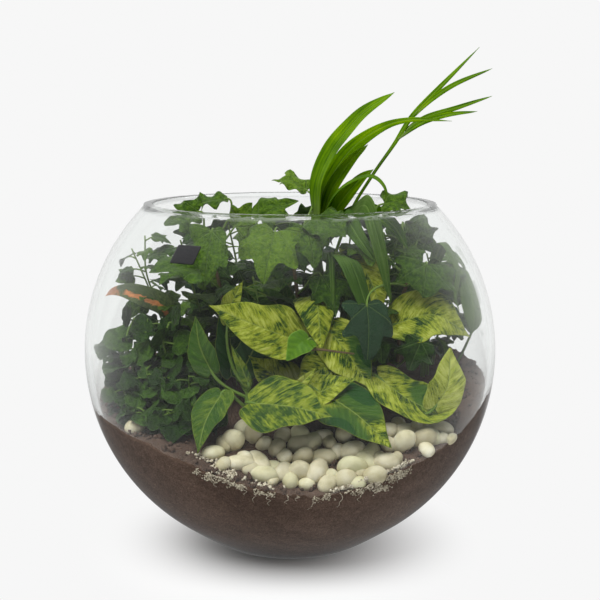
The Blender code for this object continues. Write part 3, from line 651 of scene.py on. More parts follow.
floor_level = wall[0, 1]
down = np.linspace(0, 1, SIDE_ROWS)[1:, None]
edge_height = top[-1, :, 2]
side_height = edge_height + (floor_level - edge_height) * (1 - (1 - down) ** 1.3)
side_radius = np.interp(side_height, wall[:, 1], wall[:, 0])
side = np.stack((side_radius * ring[:, 0], side_radius * ring[:, 1], side_height), -1)
bed = shell(np.vstack((top, side)), (0, 0, soil_height(0.0, 0.0)), (0, 0, floor_level))

# %% Soil finish
soil, shader = new_finish("moist_soil", Roughness=0.95, Specular_IOR_Level=0.2)
where = coordinates(shader.id_data)
x_at, y_at, z_at = parts_of(where)
layers = noise((0.2 * x_at, y_at, 0.35 * x_at + z_at), 45.0, 4.0, 0.6, 0.6)
fine = noise(where, 1100.0, 4.0, 0.75)
coarse = noise(where, 260.0, 3.0, 0.6)
wide = noise(where, 14.0, 2.0)
base = ramp(
    0.62 * fine + 0.20 * coarse + 0.20 * layers + 0.16 * wide,
    (0.42, (0.022, 0.013, 0.009)), (0.56, (0.080, 0.050, 0.037)),
    (0.68, (0.145, 0.093, 0.070)), (0.82, (0.30, 0.21, 0.16)),
)
flecks = step_up(noise(where, 1900.0, 1.0), 0.71, 0.76)
paint(shader, blend(0.6 * flecks, base, (0.42, 0.34, 0.27)))
raise_by(shader, 0.8 * coarse + fine, 0.7, 0.0016)

add_piece("soil_bed", [{"shell": bed}], [soil], ["soil"])
print("soil meets the glass from", round(edge_height.min(), 1), "to", round(edge_height.max(), 1), "mm")

# %% [markdown]
# ## Crumbs
#
# Loose soil breaks into crumbs, most along the upper edge of the bed and at the foot of the plants.
# A crumb is a tiny rough ball of a few faces, and one piece holds hundreds of them. Each is a small
# round grid whose radius is changed at every corner by its own random numbers.

# %% Crumbs
CRUMBS = 760
CRUMB_ROOM = 1.0


def crumb(centre, size, rng):
    """A lump of 4 rings of 6 points: directions on a sphere, times size, times 0.7 to 1.25."""
    rise = np.radians((60, 20, -20, -60))[:, None]
    ball = on_ball(rise, turns(6) + rng.uniform(0, 1))
    ball = ball * rng.uniform(0.7, 1.25, (4, 6, 1)) * size * rng.uniform(0.75, 1.25, 3) + centre
    pole = np.array((0, 0, 0.85 * size))
    return {"shell": shell(ball, centre + pole, centre - pole)}


rng = np.random.default_rng(21)
crumbs = []
for _ in range(CRUMBS):
    turn = rng.uniform(0, 2 * math.pi)
    reach_at = np.interp(turn, np.linspace(0, 2 * math.pi, SOIL_COLUMNS), reach)
    away = reach_at * (1 - abs(rng.normal(0, 0.16)))
    size = rng.uniform(0.5, 1.9) ** 1.3
    away = min(away, reach_at - size - CRUMB_ROOM)
    x, y = away * math.cos(turn), away * math.sin(turn)
    crumbs.append(crumb(np.array((x, y, soil_height(x, y) + size * 0.5)), size, rng))
add_piece("soil_crumbs", crumbs, [soil])
print("crumbs:", len(crumbs))

# %% [markdown]
# ## The pebbles
#
# White river pebbles are tumbled stones: smooth, egg-shaped, each a little dented. A pebble is a ball
# of 14 rings, stretched along three axes, with one end fuller and a faint unevenness added, then
# rolled and laid on the slope of the soil. The lower third or so of it lies in the soil.
#
# They are creamy white, softly mottled and slightly translucent. Some have a grey-green shade, and
# some are aged to a brownish cream.


# %% Pebble shape
BALL_ROWS, BALL_COLUMNS = 14, 24
SLOPE = math.radians(28)


def pebble(x, y, along, across, through, roll, seed, yaw=0.0):
    """An egg: (cos v, sin v) rings, times the half-sizes, longer by 12% at one end, then turned."""
    rise = np.radians(np.linspace(80, -80, BALL_ROWS))[:, None]
    ball = on_ball(rise, turns(BALL_COLUMNS)).reshape(-1, 3)
    ball = squared(np.concatenate((ball, ((0, 0, 1), (0, 0, -1)))), 0.9)
    ball = ball * (1 + 0.12 * ball[:, :1]) * (1 + 0.10 * ripple(ball, 3.0, seed)[:, None])
    ball = ball * np.array((along, across, through))
    roll = math.radians(roll)
    ball_x, ball_z = spun(ball[:, 0], ball[:, 2], roll)
    ball_y, ball_z = spun(ball[:, 1], ball_z, SLOPE)
    ball_x, ball_y = spun(ball_x, ball_y, math.radians(yaw))
    half_height = math.hypot(along * math.sin(roll), through * math.cos(roll))
    height = soil_height(x, y) + half_height * 0.3
    points = np.column_stack((ball_x, ball_y, ball_z)) + (x, y, height)
    rings = points[:-2].reshape(BALL_ROWS, BALL_COLUMNS, 3)
    return {"shell": shell(rings, points[-2], points[-1]), "look": (0, (seed * 0.37) % 1, 0)}


# %% Pebble finish
stone, shader = new_finish("cream_pebble", Roughness=0.42, Specular_IOR_Level=0.4)
shader.inputs["Subsurface Weight"].default_value = 0.12
shader.inputs["Subsurface Radius"].default_value = (0.004, 0.003, 0.002)
where = coordinates(shader.id_data)
tone = place_on_leaf(shader)[4]
cloud = noise(where, 90.0, 3.0)
dust = noise(where, 1200.0, 2.0)
cream = ramp(cloud, (0.30, (0.48, 0.43, 0.27)), (0.50, (0.64, 0.58, 0.41)), (0.70, (0.77, 0.72, 0.57)))
aged = blend(0.55 * step_up(tone, 0.50, 0.05), cream, (0.40, 0.35, 0.21))
green = blend(0.45 * step_up(tone, 0.55, 1.0), aged, (0.53, 0.53, 0.29))
specks = step_up(dust, 0.70, 0.78)
paint(shader, blend(0.5 * specks, green, (0.30, 0.25, 0.17)))
raise_by(shader, 0.15 * dust + cloud, 0.25, 0.0012)

# %% Pebbles in place
FULLER = 1.10
# x, y, half-sizes along, across and through, roll in degrees
PEBBLES = (
    (-106, -80, 6.0, 5.0, 4.5, 0), (-39, -90, 9.2, 5.5, 7.0, 70), (-25, -82, 8.6, 5.0, 6.2, 80),
    (-34, -105, 9.6, 5.0, 5.0, 4), (-18, -110, 9.2, 5.2, 5.4, -6), (8, -86, 9.4, 5.6, 6.2, 0),
    (6, -105, 8.0, 5.0, 7.0, 60), (42, -103, 9.6, 5.4, 8.0, -20), (64, -102, 8.2, 5.0, 6.2, 12),
    (76, -88, 10.0, 5.4, 6.6, 62), (90, -84, 9.4, 5.4, 6.4, 55), (102, -73, 8.2, 5.2, 5.6, -8),
)
for number, (x, y, *sizes, roll) in enumerate(PEBBLES, 1):
    part = pebble(x, y, *(size * FULLER for size in sizes), roll, number)
    add_piece(f"river_pebble_{number:02d}", [part], [stone], [f"pebble_{number:02d}"])

SMALL_PEBBLES = (
    (-52, -102, 6.2, 5.0, 5.0, 0), (-10, -90, 6.4, 5.2, 7.6, 10), (-21, -99, 7.8, 5.0, 4.6, 0),
    (-13, -101, 6.6, 4.8, 4.4, 5), (-5, -106, 6.0, 5.0, 5.0, 0), (-3, -95, 6.2, 5.0, 5.2, 15),
    (22, -94, 8.4, 5.6, 6.0, 0), (17, -104, 7.0, 5.4, 7.0, 30), (29, -105, 6.0, 5.0, 6.0, 0),
    (36, -111, 6.2, 5.0, 5.2, 20), (32, -92, 6.2, 5.2, 5.6, 0), (52, -97, 7.8, 5.0, 5.0, -10),
    (56, -109, 6.4, 5.0, 6.4, 10), (86, -72, 8.0, 5.6, 6.6, -30), (97, -80, 5.6, 4.6, 5.2, 0),
    (101, -82, 6.2, 4.6, 4.8, 20), (109, -82, 3.8, 3.2, 3.0, 0), (-44, -89, 5.8, 4.6, 4.8, 0),
    (-18, -87, 6.0, 4.6, 5.4, 40), (14, -86, 6.6, 5.0, 5.4, 0), (28, -85, 6.4, 5.0, 5.4, 0),
    (41, -90, 6.6, 5.0, 5.6, 10), (54, -91, 6.6, 5.0, 5.6, 0), (68, -87, 6.0, 5.0, 5.4, 20),
    (79, -78, 6.0, 4.8, 5.2, 0), (70, -100, 6.0, 4.8, 5.4, 10), (-29, -99, 6.0, 4.6, 4.4, 0),
    (11, -111, 5.4, 4.4, 4.4, 0), (-45, -110, 5.4, 4.2, 4.0, 10), (93, -92, 5.0, 4.2, 4.4, 0),
    (45, -114, 5.4, 4.4, 4.4, 0), (24, -112, 5.6, 4.4, 4.4, 20), (62, -96, 6.0, 5.0, 5.4, 0),
    (8, -96, 6.6, 5.0, 6.6, 60), (47, -106, 6.0, 4.8, 5.0, 0), (84, -82, 5.6, 4.8, 5.2, 0),
    (-26, -106, 5.0, 4.2, 4.2, 0), (-12, -112, 5.0, 4.2, 4.0, 0), (1, -111, 5.4, 4.4, 4.4, 0),
    (92, -74, 5.4, 4.4, 4.8, 0), (-6, -80, 6.4, 5.0, 5.6, 0), (8, -77, 6.0, 5.0, 5.6, 10),
    (22, -79, 6.6, 5.0, 5.6, 0), (37, -80, 6.2, 5.0, 5.4, 0), (52, -80, 6.4, 5.0, 5.6, 0),
    (66, -77, 6.4, 5.0, 5.6, 10), (-33, -74, 6.0, 5.0, 5.2, 0), (76, -70, 6.2, 5.0, 5.4, 0),
)
small = []
for number, (x, y, along, across, through, roll) in enumerate(SMALL_PEBBLES):
    swing = math.sin(number * 2.1)
    grown = FULLER + 0.18 * math.sin(number * 3.7)
    sizes = along * grown * 1.1, across * grown, through * grown * 0.9
    place = x + swing, y + 1.5 * math.cos(number * 1.3)
    small.append(pebble(*place, *sizes, roll + 25 * swing, 40 + number, 80 * swing))
add_piece("small_pebbles", small, [stone])
furthest = max(np.linalg.norm(part["shell"][0] - SPHERE_MIDDLE, axis=1).max() for part in small)
print("pebbles:", len(PEBBLES) + len(SMALL_PEBBLES), "furthest out", round(furthest, 1), "of", INNER_RADIUS)

# %% [markdown]
# ## Salts and roots
#
# Water that dries at the edge of the pebbles leaves a pale crust on the crumbs, and a few fine
# roots show through the glass. The crust is many small crumbs in a pale, rough finish: some lie on the
# soil, and some have washed down in clusters between the soil and the glass. A root is a thin tube
# there.

# %% Crust
# how far from the sphere's middle the loose crumbs may lie
LOOSE_LIMIT = 142.5
# how far past the inner wall's face the washed crumbs and roots have their middles
UNDER_GLASS = 0.8
CLUSTER = 16
ROOTS = 16
# middle x and y, reach x and y, count
CRUSTS = (
    (52, -118, 8, 5, 90), (64, -114, 9, 5, 110), (76, -106, 7, 5, 80), (36, -119, 7, 4, 40),
    (-40, -114, 8, 4, 70), (-54, -104, 7, 4, 50), (-14, -118, 8, 3, 30),
)
# middle x, reach x, reach down, clusters
WASHED = (
    (44, 9, 3, 6), (60, 8, 7, 18), (73, 6, 5, 8), (22, 9, 2, 4), (-38, 8, 3, 7), (-53, 6, 5, 7),
    (-14, 9, 2, 3),
)


def drawn_in(points):
    """Moves a crumb whose middle is too near the glass straight towards the sphere's middle."""
    centre = points.mean(axis=0)
    away = np.linalg.norm(centre - SPHERE_MIDDLE)
    if away > LOOSE_LIMIT:
        points += (SPHERE_MIDDLE - centre) * (1 - LOOSE_LIMIT / away)


def under_glass(x, z):
    """The point at x and height z on the front of a sphere that lies just inside the wall."""
    return np.array((x, -math.sqrt((INNER_RADIUS + UNDER_GLASS) ** 2 - x**2 - (z - CENTRE_HEIGHT) ** 2), z))


def soil_edge(x):
    """The bed's height where it meets the front glass, found in three steps from a guess."""
    z = 85.0
    for _ in range(3):
        z = float(soil_height(x, under_glass(x, z)[1]))
    return z


crust, shader = new_finish("white_crust", Roughness=0.9)
grain = noise(coordinates(shader.id_data), 700.0, 3.0)
paint(shader, ramp(grain, (0.38, (0.20, 0.16, 0.11)), (0.50, (0.50, 0.44, 0.33)), (0.62, (0.68, 0.62, 0.50))))
raise_by(shader, grain, 0.6, 0.001)

rng = np.random.default_rng(8)
pieces = []
for x, y, reach_x, reach_y, count in CRUSTS:
    for _ in range(count):
        at_x, at_y = x + rng.normal(0, reach_x * 0.6), y + rng.normal(0, reach_y * 0.6)
        size = rng.uniform(0.5, 1.5)
        part = crumb(np.array((at_x, at_y, soil_height(at_x, at_y) + size * 0.3)), size, rng)
        drawn_in(part["shell"][0])
        pieces.append(part)
for x, reach_x, reach_z, clusters in WASHED:
    for _ in range(clusters):
        cluster_x = x + rng.normal(0, reach_x * 0.6)
        cluster_z = soil_edge(cluster_x) - abs(rng.normal(0, reach_z * 0.6))
        for _ in range(CLUSTER):
            at = under_glass(cluster_x + rng.normal(0, 1.5), cluster_z + rng.normal(0, 1.1))
            pieces.append(crumb(at, rng.uniform(0.25, 0.85), rng))
print("crust crumbs:", len(pieces))
steps = np.linspace(0, 1, 9)
for start_x in np.linspace(-60, 82, ROOTS):
    bends = np.cumsum(rng.normal(0, 1.1, 9))
    top, length = soil_edge(start_x) + 0.5, rng.uniform(4, 12)
    path = [under_glass(start_x + bend, top - length * step) for step, bend in zip(steps, bends)]
    pieces.append(tube(curve_at(path, np.linspace(0, 1, 18)), np.linspace(0.34, 0.10, 18), 6))
add_piece("salt_crust", pieces, [crust])
print("roots:", ROOTS)

# %% [markdown]
# ## Stems
#
# The stems are round tubes along smooth curves, thinner towards the top. A pothos stem is fleshy and
# ringed with old leaf joints, an ivy stem is woody and brown, and the palm's cane is green under
# papery sheaths. Their tables are the ones that the solids were made from.

# %% Stem finishes
bark, shader = new_finish("brown_bark", Roughness=0.75)
along, turned_by, seed, *_ = place_on_leaf(shader)
fibre = noise((1.5 * along, 30.0 * turned_by, seed), 2.0, 4.0)
brown = ramp(fibre, (0.3, (0.045, 0.030, 0.012)), (0.6, (0.14, 0.095, 0.045)), (0.8, (0.22, 0.17, 0.09)))
paint(shader, brown)
raise_by(shader, fibre, 0.5, 0.0008)

stalk_finish, shader = new_finish("fleshy_stalk", Roughness=0.42)
along, turned_by, seed, *_ = place_on_leaf(shader)
fibre = noise((0.8 * along, 26.0 * turned_by, seed), 2.0, 3.0)
joint = 1 - step_up(calc("PINGPONG", along, 0.9), 0.0, 0.10)
green = ramp(fibre, (0.3, (0.060, 0.120, 0.015)), (0.55, (0.13, 0.22, 0.030)), (0.8, (0.24, 0.33, 0.07)))
paint(shader, blend(0.35 * joint, green, (0.10, 0.085, 0.03)))
raise_by(shader, fibre + joint, 0.3, 0.0005)

# %% Stems in place
IN_SOIL = 10.0
# root, points, radius at the foot and at the top
STEMS = {
    "pothos_stem": ((16, -36), ((14, -44, 132), (16, -47, 152), (13, -45, 174)), 3.0, 2.2),
    "pothos_side_shoot": ((-24, -58), ((-27, -66, 112), (-29, -70, 122), (-28, -66, 134)), 2.4, 1.8),
    "ivy_stem_left": ((-40, -20), ((-44, -28, 160), (-50, -38, 200), (-58, -44, 230)), 1.5, 1.1),
    "ivy_stem_centre": ((4, -18), ((6, -22, 150), (6, -25, 181), (2, -30, 215), (-1, -36, 234)), 1.6, 1.2),
    "ivy_stem_right": ((76, -16), ((78, -26, 150), (78, -30, 180), (86, -28, 205)), 1.5, 1.1),
    "palm_cane": ((27, 14), ((25, 10, 165), (20, 4, 210), (17, 0, 246)), 4.5, 3.2),
}


def rooted(root, points):
    """A stem's points, from below the soil upwards."""
    x, y = root
    surface = soil_height(x, y)
    return ((x, y, surface - IN_SOIL), (x, y, surface + 2.0), *points)


stem_paths = {}
for number, (name, (root, points, foot, top)) in enumerate(STEMS.items(), 1):
    shares = np.linspace(0, 1, 60)
    path = curve_at(rooted(root, points), shares)
    stem_paths[name] = path
    joints = 1 + 0.10 * np.maximum(0, np.cos(shares * 9 * math.pi)) ** 8
    finish = bark if name.startswith("ivy") else stalk_finish
    part = tube(path, (foot + (top - foot) * shares) * joints, 16, seed=number)
    add_piece(name + "_grown", [part], [finish], [name])
    print(name, "top at", path[-1].round(0))

# %% [markdown]
# ## How a leaf is made
#
# A leaf starts as a flat outline with its midrib along one axis. The grid is polar: it grows out of a
# point on the midrib to the outline, goes over the margin, and comes back on the under side, so the
# blade is a thin closed body. Then it is bent in three ways: the midrib becomes a curve in space, the
# blade folds a little along it, and the margin waves.
#
# Each corner remembers where it was on the flat leaf. The finishes use that to draw veins and marbling
# that follow the leaf however it's bent.

# %% Leaf outlines
# half of each outline from the tip to the foot: share of the length, share of the half-width
HEART = (
    (1, 0), (0.93, 0.09), (0.82, 0.30), (0.66, 0.62), (0.46, 0.90), (0.27, 1), (0.10, 0.92),
    (-0.04, 0.66), (-0.09, 0.36), (-0.05, 0.12), (0, 0),
)
IVY = (
    (1, 0), (0.88, 0.16), (0.70, 0.36), (0.58, 0.50), (0.60, 0.68), (0.60, 0.93), (0.44, 0.90),
    (0.30, 0.80), (0.22, 0.76), (0.08, 0.86), (-0.03, 0.78), (-0.07, 0.50), (-0.05, 0.20), (0, 0.03),
)
ROUND = ((1, 0), (0.9, 0.45), (0.6, 0.9), (0.3, 1), (0.05, 0.8), (-0.02, 0.35), (0, 0.05))
WALL_ROOM = 1.2


# %% Leaf shape
def kept_inside(points, room=WALL_ROOM):
    """Points that would cut the glass are pressed back against its inside, below the rim."""
    away = np.linalg.norm(points - SPHERE_MIDDLE, axis=-1, keepdims=True)
    limit = INNER_RADIUS - room
    pressed = SPHERE_MIDDLE + (points - SPHERE_MIDDLE) * np.minimum(1, limit / away)
    return np.where(points[..., 2:] < RIM_HEIGHT + 1, pressed, points)


def uneven_margin(outline, length, width, columns, ragged, rng):
    """The flat outline all round, pushed out and in by 5% and 4% in slow and quick waves."""
    half = curve_at(np.array(outline) * (length, width / 2), np.linspace(0, 1, columns // 2 + 1))
    margin = np.vstack((half, half[-2:0:-1] * (1, -1)))
    centre = np.array((0.3 * length, 0.0))
    turn = np.arctan2(margin[:, 1], margin[:, 0] - centre[0])
    uneven = 0.05 * np.sin(2 * turn + rng.uniform(0, 6)) + 0.04 * np.sin(5 * turn + rng.uniform(0, 6))
    return centre, centre + (margin - centre) * (1 + ragged * uneven)[:, None]


def leaf_part(outline, width, midrib, facing, fold=0.1, wave=1.0, grid=(10, 56), seed=0, tone=0.5,
              patches=(), thick=0.5, cup=0.0, ragged=1.0):
    """A bent leaf.

    Flat: centre + r (margin - centre), with r going 0 to 1 on top and back to 0 below, gives a
    distance a along and b across. Bent: midrib(a) + sideways * b + upwards * lift, where lift is
    fold (sqrt(b^2 + 1) - 1), plus a cup and waves that grow with b^2, plus a fine pucker, plus or
    minus half the thickness. Behind the midrib's foot the blade runs on along its tangent. Each
    patch takes a bell of 1 from the tone.
    """
    rows, columns = grid
    stations = np.linspace(0, 1, 25)
    path = curve_at(midrib, stations)
    length = distance_along(path)[-1]
    forward, sideways, upward = frames_along(path, facing)
    rng = np.random.default_rng(seed)
    centre, margin = uneven_margin(outline, length, width, columns, ragged, rng)
    levels = np.concatenate((np.linspace(1 / rows, 1, rows)[:-1], [0.97]))
    levels = np.concatenate((levels, [1.0], 2 - levels[::-1]))[:, None, None]
    flat = centre + (1 - np.abs(1 - levels)) * (margin - centre)
    a, b = np.concatenate((flat.reshape(-1, 2), centre[None], centre[None])).T
    level = np.broadcast_to(levels[..., 0], (len(levels), columns)).ravel()
    level = np.concatenate((level, (0.0, 2.0)))
    reach = 1 - np.abs(1 - level)
    share, across = a / length, b / (width / 2)
    phase, count = rng.uniform(0, 6.28, 2), rng.uniform(1.6, 2.6)
    waves = wave * across**2 * reach * np.sin(count * 6.28 * share + phase[(b > 0).astype(int)])
    pucker = 0.25 * wave * ripple(np.column_stack((a, b, np.full(len(a), seed * 7.0))), width * 0.45, seed)
    lift = fold * (np.sqrt(b**2 + 1) - 1) + cup * across**2 * width / 2 + waves + pucker * reach
    lift = lift + np.where(level < 1, 0.5, -0.5) * thick * (1 - reach**6)
    points = read_at(share, stations, path) + np.minimum(a, 0)[:, None] * forward[0]
    points = points + b[:, None] * read_at(share, stations, sideways)
    points = kept_inside(points + lift[:, None] * read_at(share, stations, upward))
    # painted shade: each patch lowers the tone towards the plain deep green of a shaded part
    for at_share, at_across, reach_along, reach_across in patches:
        away = ((share - at_share) / reach_along) ** 2 + ((across - at_across) / reach_across) ** 2
        tone = tone - np.exp(-away)
    values = np.column_stack((a / 10, b / 10, np.full(len(a), float(seed))))
    looks = np.column_stack((level, np.broadcast_to(tone, len(a)), share))
    rings = points[:-2].reshape(len(levels), columns, 3)
    return {"shell": shell(rings, points[-2], points[-1]), "leaf": values, "look": looks}


# %% Leaf stalks
def stalk_part(start, midrib, facing, radius, seed=0.0):
    """A stalk: a Bezier curve that leaves the stem sideways and runs in under the midrib."""
    base = np.asarray(midrib[0], float)
    along = unit(np.asarray(midrib[1], float) - base)
    start = np.asarray(start, float)
    span = np.linalg.norm(base - start)
    out = base - start
    out = unit((out[0], out[1], 0.01))
    leave = start + (out * 0.35 + np.array((0, 0, 0.12))) * span
    arrive = base - along * 0.3 * span
    t = np.linspace(0, 1, 14)[:, None]
    path = start * (1 - t) ** 3 + 3 * leave * t * (1 - t) ** 2 + 3 * arrive * t**2 * (1 - t) + base * t**3
    under = curve_at(midrib, (0.06, 0.14))
    path = np.vstack((path, under - unit(facing) * radius * 0.4))
    radii = np.concatenate((np.linspace(1.15, 0.85, 14), (0.5, 0.2))) * radius
    return tube(kept_inside(path, 2.0), radii, 8, finish=1, seed=seed)


def stem_point(name, height):
    """The point of a stem at a height."""
    path = stem_paths[name]
    return read_at(height, path[:, 2], path)


def add_leaf(name, parts, finishes):
    """A leaf's piece. It stands for the solid of its name, if the solids have that leaf too."""
    add_piece(name + "_blade", parts, finishes, [name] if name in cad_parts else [])


print("leaf helpers ready")

# %% [markdown]
# ## The pothos finish
#
# A marble pothos leaf has lost its green in patches. The green is left as streaks that follow the side
# veins, which sweep from the midrib to the tip, and as scattered flecks. So the streaks are noise
# stretched along the veins: it is read at (distance along minus a share of the distance across), which
# stays the same on a vein. A tone from 0, all green, to 1, nearly all cream, shifts the balance, and
# below 0 the colour is a plain deep green that is painted shade, for leaves that lie in shadow and for
# shaded patches of others. The margin is a thin yellow-green line. A thin leaf lets some light
# through, so part of its surface is translucent.

# %% Marbled finish
marbled, shader = new_finish("marbled_blade", Roughness=0.34, Specular_IOR_Level=0.25)
along, across, seed, edge, tone, share = place_on_leaf(shader)
side = abs(across)
swept = along - 0.90 * side - 0.13 * (side * side)
by_leaf = 0.4 * calc("SIGN", across) + 3.7 * seed
streaks = noise((4.6 * swept, 1.2 * side, by_leaf), 1.0, 6.0, 0.66, 0.7)
flecks = noise((20.0 * swept, 4.6 * side, by_leaf), 1.0, 4.0, 0.7, 0.4)
threads = noise((22.0 * swept, 2.4 * side, by_leaf), 1.0, 3.0, 0.6, 0.3)
clouds = noise((along, across, by_leaf), 0.9, 3.0)
marbling = ramp(
    0.50 * streaks + 0.42 * flecks + 0.52 * clouds + 0.20 * tone,
    (0.735, (0.012, 0.042, 0.005)), (0.765, (0.028, 0.080, 0.006)), (0.785, (0.11, 0.16, 0.010)),
    (0.815, (0.21, 0.26, 0.012)), (0.88, (0.33, 0.38, 0.034)), (0.98, (0.50, 0.54, 0.12)),
)
quiet = ramp(
    0.6 * threads + 0.4 * streaks,
    (0.36, (0.020, 0.062, 0.006)), (0.50, (0.040, 0.105, 0.010)),
    (0.60, (0.085, 0.165, 0.022)), (0.72, (0.24, 0.31, 0.07)),
)
# painted shade: a plain deep green for leaves and patches in shadow, used where the tone is below 0
painted_shade_green = ramp(streaks, (0.3, (0.010, 0.050, 0.008)), (0.7, (0.020, 0.080, 0.012)))
colour = blend(step_up(tone, 0.20, 0.50), quiet, marbling)
colour = blend(1 - step_up(tone, -0.12, -0.04), colour, painted_shade_green)
rib = (1 - step_up(side, 0.015, 0.075)) * step_up(share, 1.0, 0.75)
colour = blend(0.45 * rib, colour, (0.30, 0.38, 0.08))
margin = 1 - abs(edge - 1.0)
colour = blend(0.5 * step_up(margin, 0.965, 0.99), colour, (0.34, 0.42, 0.05))
underside = step_up(edge, 1.02, 1.06)
paint(shader, blend(0.35 * underside, colour, (0.20, 0.28, 0.07)))
veins = calc("SINE", 9.0 * swept)
raise_by(shader, 0.30 * veins + 0.8 * streaks - 0.8 * rib, 0.50, 0.0014)
glow_through(shader, 0.2)

# %% Young finish
young, shader = new_finish("young_blade", Roughness=0.36, Specular_IOR_Level=0.2)
along, across, seed, edge, *_ = place_on_leaf(shader)
side = abs(across)
swept = along - 0.60 * side
shade = noise((3.0 * swept, side, seed), 1.0, 3.0)
colour = ramp(shade, (0.3, (0.036, 0.105, 0.004)), (0.7, (0.095, 0.20, 0.008)))
margin = 1 - abs(edge - 1.0)
paint(shader, blend(0.6 * step_up(margin, 0.93, 0.98), colour, (0.22, 0.36, 0.05)))
raise_by(shader, calc("SINE", 12.0 * swept), 0.12, 0.0005)
print("pothos finishes ready")

# %% Pothos leaves
# stem, height on it, width, facing, fold, wave, tone, midrib, patches of painted shade (share, across,
# reaches)
POTHOS_LEAVES = {
    "leaf_broad_left": (
        "stem", 158, 40, (0.1, -0.8, 0.55), 0.12, 1.8, 0.62,
        ((6, -62, 162), (-24, -72, 175), (-56, -78, 190)),
    ),
    "leaf_small_front": (
        "stem", 140, 19, (-0.3, -0.9, 0.25), 0.2, 0.6, 0.5, ((13, -72, 165), (7, -79, 163), (-2, -82, 152)),
    ),
    "leaf_draped": (
        "stem", 166, 31, (0.15, -0.6, 0.8), -0.15, 1.0, 0.50,
        ((14, -36, 189), (19, -55, 186), (22, -68, 157)),
    ),
    "leaf_hanging": (
        "stem", 144, 35, (0.1, -0.95, 0.3), 0.1, 1.2, 0.62, ((28, -54, 168), (42, -63, 151), (57, -75, 129)),
        (0.55, -0.5, 0.3, 0.35),
    ),
    "leaf_right": (
        "stem", 151, 38, (0.0, -0.8, 0.6), 0.1, 1.8, 0.56, ((72, -47, 171), (102, -47, 178), (131, -40, 158)),
    ),
    "leaf_curled": (
        "stem", 136, 36, (0.1, -0.55, 0.8), 0.12, 0.8, 0.62,
        ((62, -66, 137), (81, -75, 124), (99, -78, 118), (111, -71, 131), (108, -62, 153)),
        (0.50, -0.45, 0.22, 0.5),
    ),
    "leaf_low_front": (
        "side_shoot", 118, 43, (-0.05, -0.7, 0.7), 0.08, 1.6, 0.40,
        ((-26, -92, 125), (4, -102, 124), (31, -111, 119)),
    ),
    "leaf_low_right": (
        "stem", 128, 45, (0.2, -0.7, 0.7), 0.06, 1.4, 0.60, ((18, -78, 131), (44, -92, 118), (68, -108, 98)),
        (0.52, 0.75, 0.30, 0.55), (0.38, -0.65, 0.28, 0.45),
    ),
    "leaf_low_left": (
        "side_shoot", 116, 25, (-0.45, -0.85, 0.2), 0.15, 0.8, 0.30,
        ((-46, -84, 130), (-56, -98, 114), (-61, -109, 94)),
    ),
    "leaf_upright": (
        "side_shoot", 124, 20, (-0.3, -0.95, 0.1), 0.3, 0.5, 0.20,
        ((-54, -68, 142), (-62, -67, 160), (-65, -62, 180)),
    ),
    "leaf_dark_folded": (
        "side_shoot", 130, 24, (0.3, -0.9, 0.1), 0.3, 0.4, -0.3,
        ((-40, -50, 140), (-42, -48, 172), (-35, -42, 200)),
    ),
    "leaf_rolled": (
        "side_shoot", 121, 7, (0.4, -0.8, 0.3), 0.4, 0.1, 0.75,
        ((2, -86, 133), (10, -84, 139), (18, -80, 147)),
    ),
    "leaf_arched": (
        "stem", 172, 30, (0.2, -0.75, 0.55), 0.0, 0.5, 0.55,
        ((36, -28, 219), (50, -38, 212), (60, -46, 194), (64, -52, 171)),
    ),
    "shoot_narrow": (
        "side_shoot", 128, 8, (-0.2, -0.9, 0.1), 0.3, 0.2, 0.35,
        ((-28, -75, 134), (-34, -73, 148), (-41, -69, 162)),
    ),
    "shade_leaf_1": (
        "stem", 130, 27, (-0.2, -0.8, 0.6), 0.1, 0.8, 0.55, ((6, -56, 128), (-14, -62, 140), (-31, -58, 153)),
    ),
    "shade_leaf_2": (
        "stem", 122, 26, (0.1, -0.7, 0.7), 0.1, 0.8, 0.55, ((6, -76, 124), (26, -80, 132), (46, -78, 139)),
    ),
    "shade_leaf_3": (
        "stem", 150, 30, (0.0, -0.8, 0.5), 0.1, 0.8, 0.10, ((-2, -30, 176), (-16, -36, 190), (-34, -38, 196)),
    ),
    "shade_leaf_4": (
        "side_shoot", 126, 24, (0.2, -0.9, 0.2), 0.1, 0.6, -0.3,
        ((-34, -56, 138), (-24, -54, 158), (-18, -50, 178)),
    ),
    "leaf_peeking": (
        "side_shoot", 130, 15, (-0.3, -0.9, 0.1), 0.25, 0.4, 0.50,
        ((-43, -56, 174), (-40, -59, 188), (-32, -60, 204)),
    ),
    "leaf_folded_over": (
        "stem", 138, 27, (0.25, -0.95, 0.1), 0.1, 0.5, 0.95,
        ((99, -84, 121), (107, -84, 136), (109, -78, 160)),
    ),
    "shade_leaf_5": (
        "stem", 140, 30, (0.1, -0.8, 0.6), 0.1, 0.6, 0.55, ((34, -62, 148), (20, -66, 142), (2, -72, 132)),
    ),
}
for number, (name, row) in enumerate(POTHOS_LEAVES.items(), 1):
    stem, height, width, facing, fold, wave, tone, midrib, *patches = row
    blade = leaf_part(HEART, width, midrib, facing, fold, wave, (11, 64), number, tone, patches=patches)
    stalk = stalk_part(stem_point("pothos_" + stem, height), midrib, facing, 1.15, number)
    finish = young if name == "leaf_small_front" else marbled
    add_leaf("pothos_" + name, [blade, stalk], [finish, stalk_finish])
print("pothos leaves:", len(POTHOS_LEAVES))

# %% [markdown]
# ## The ivy
#
# An ivy leaf has five blunt lobes, and one pale vein runs into each from the foot of the blade. So its
# finish works with the angle round the foot: a vein shows where that angle is near one of five
# directions. The vine climbs, its leaves stand on thin stalks all round it, and each turns its face to
# the light. Behind the leaves that can be told apart there are many more, which fill the bowl.

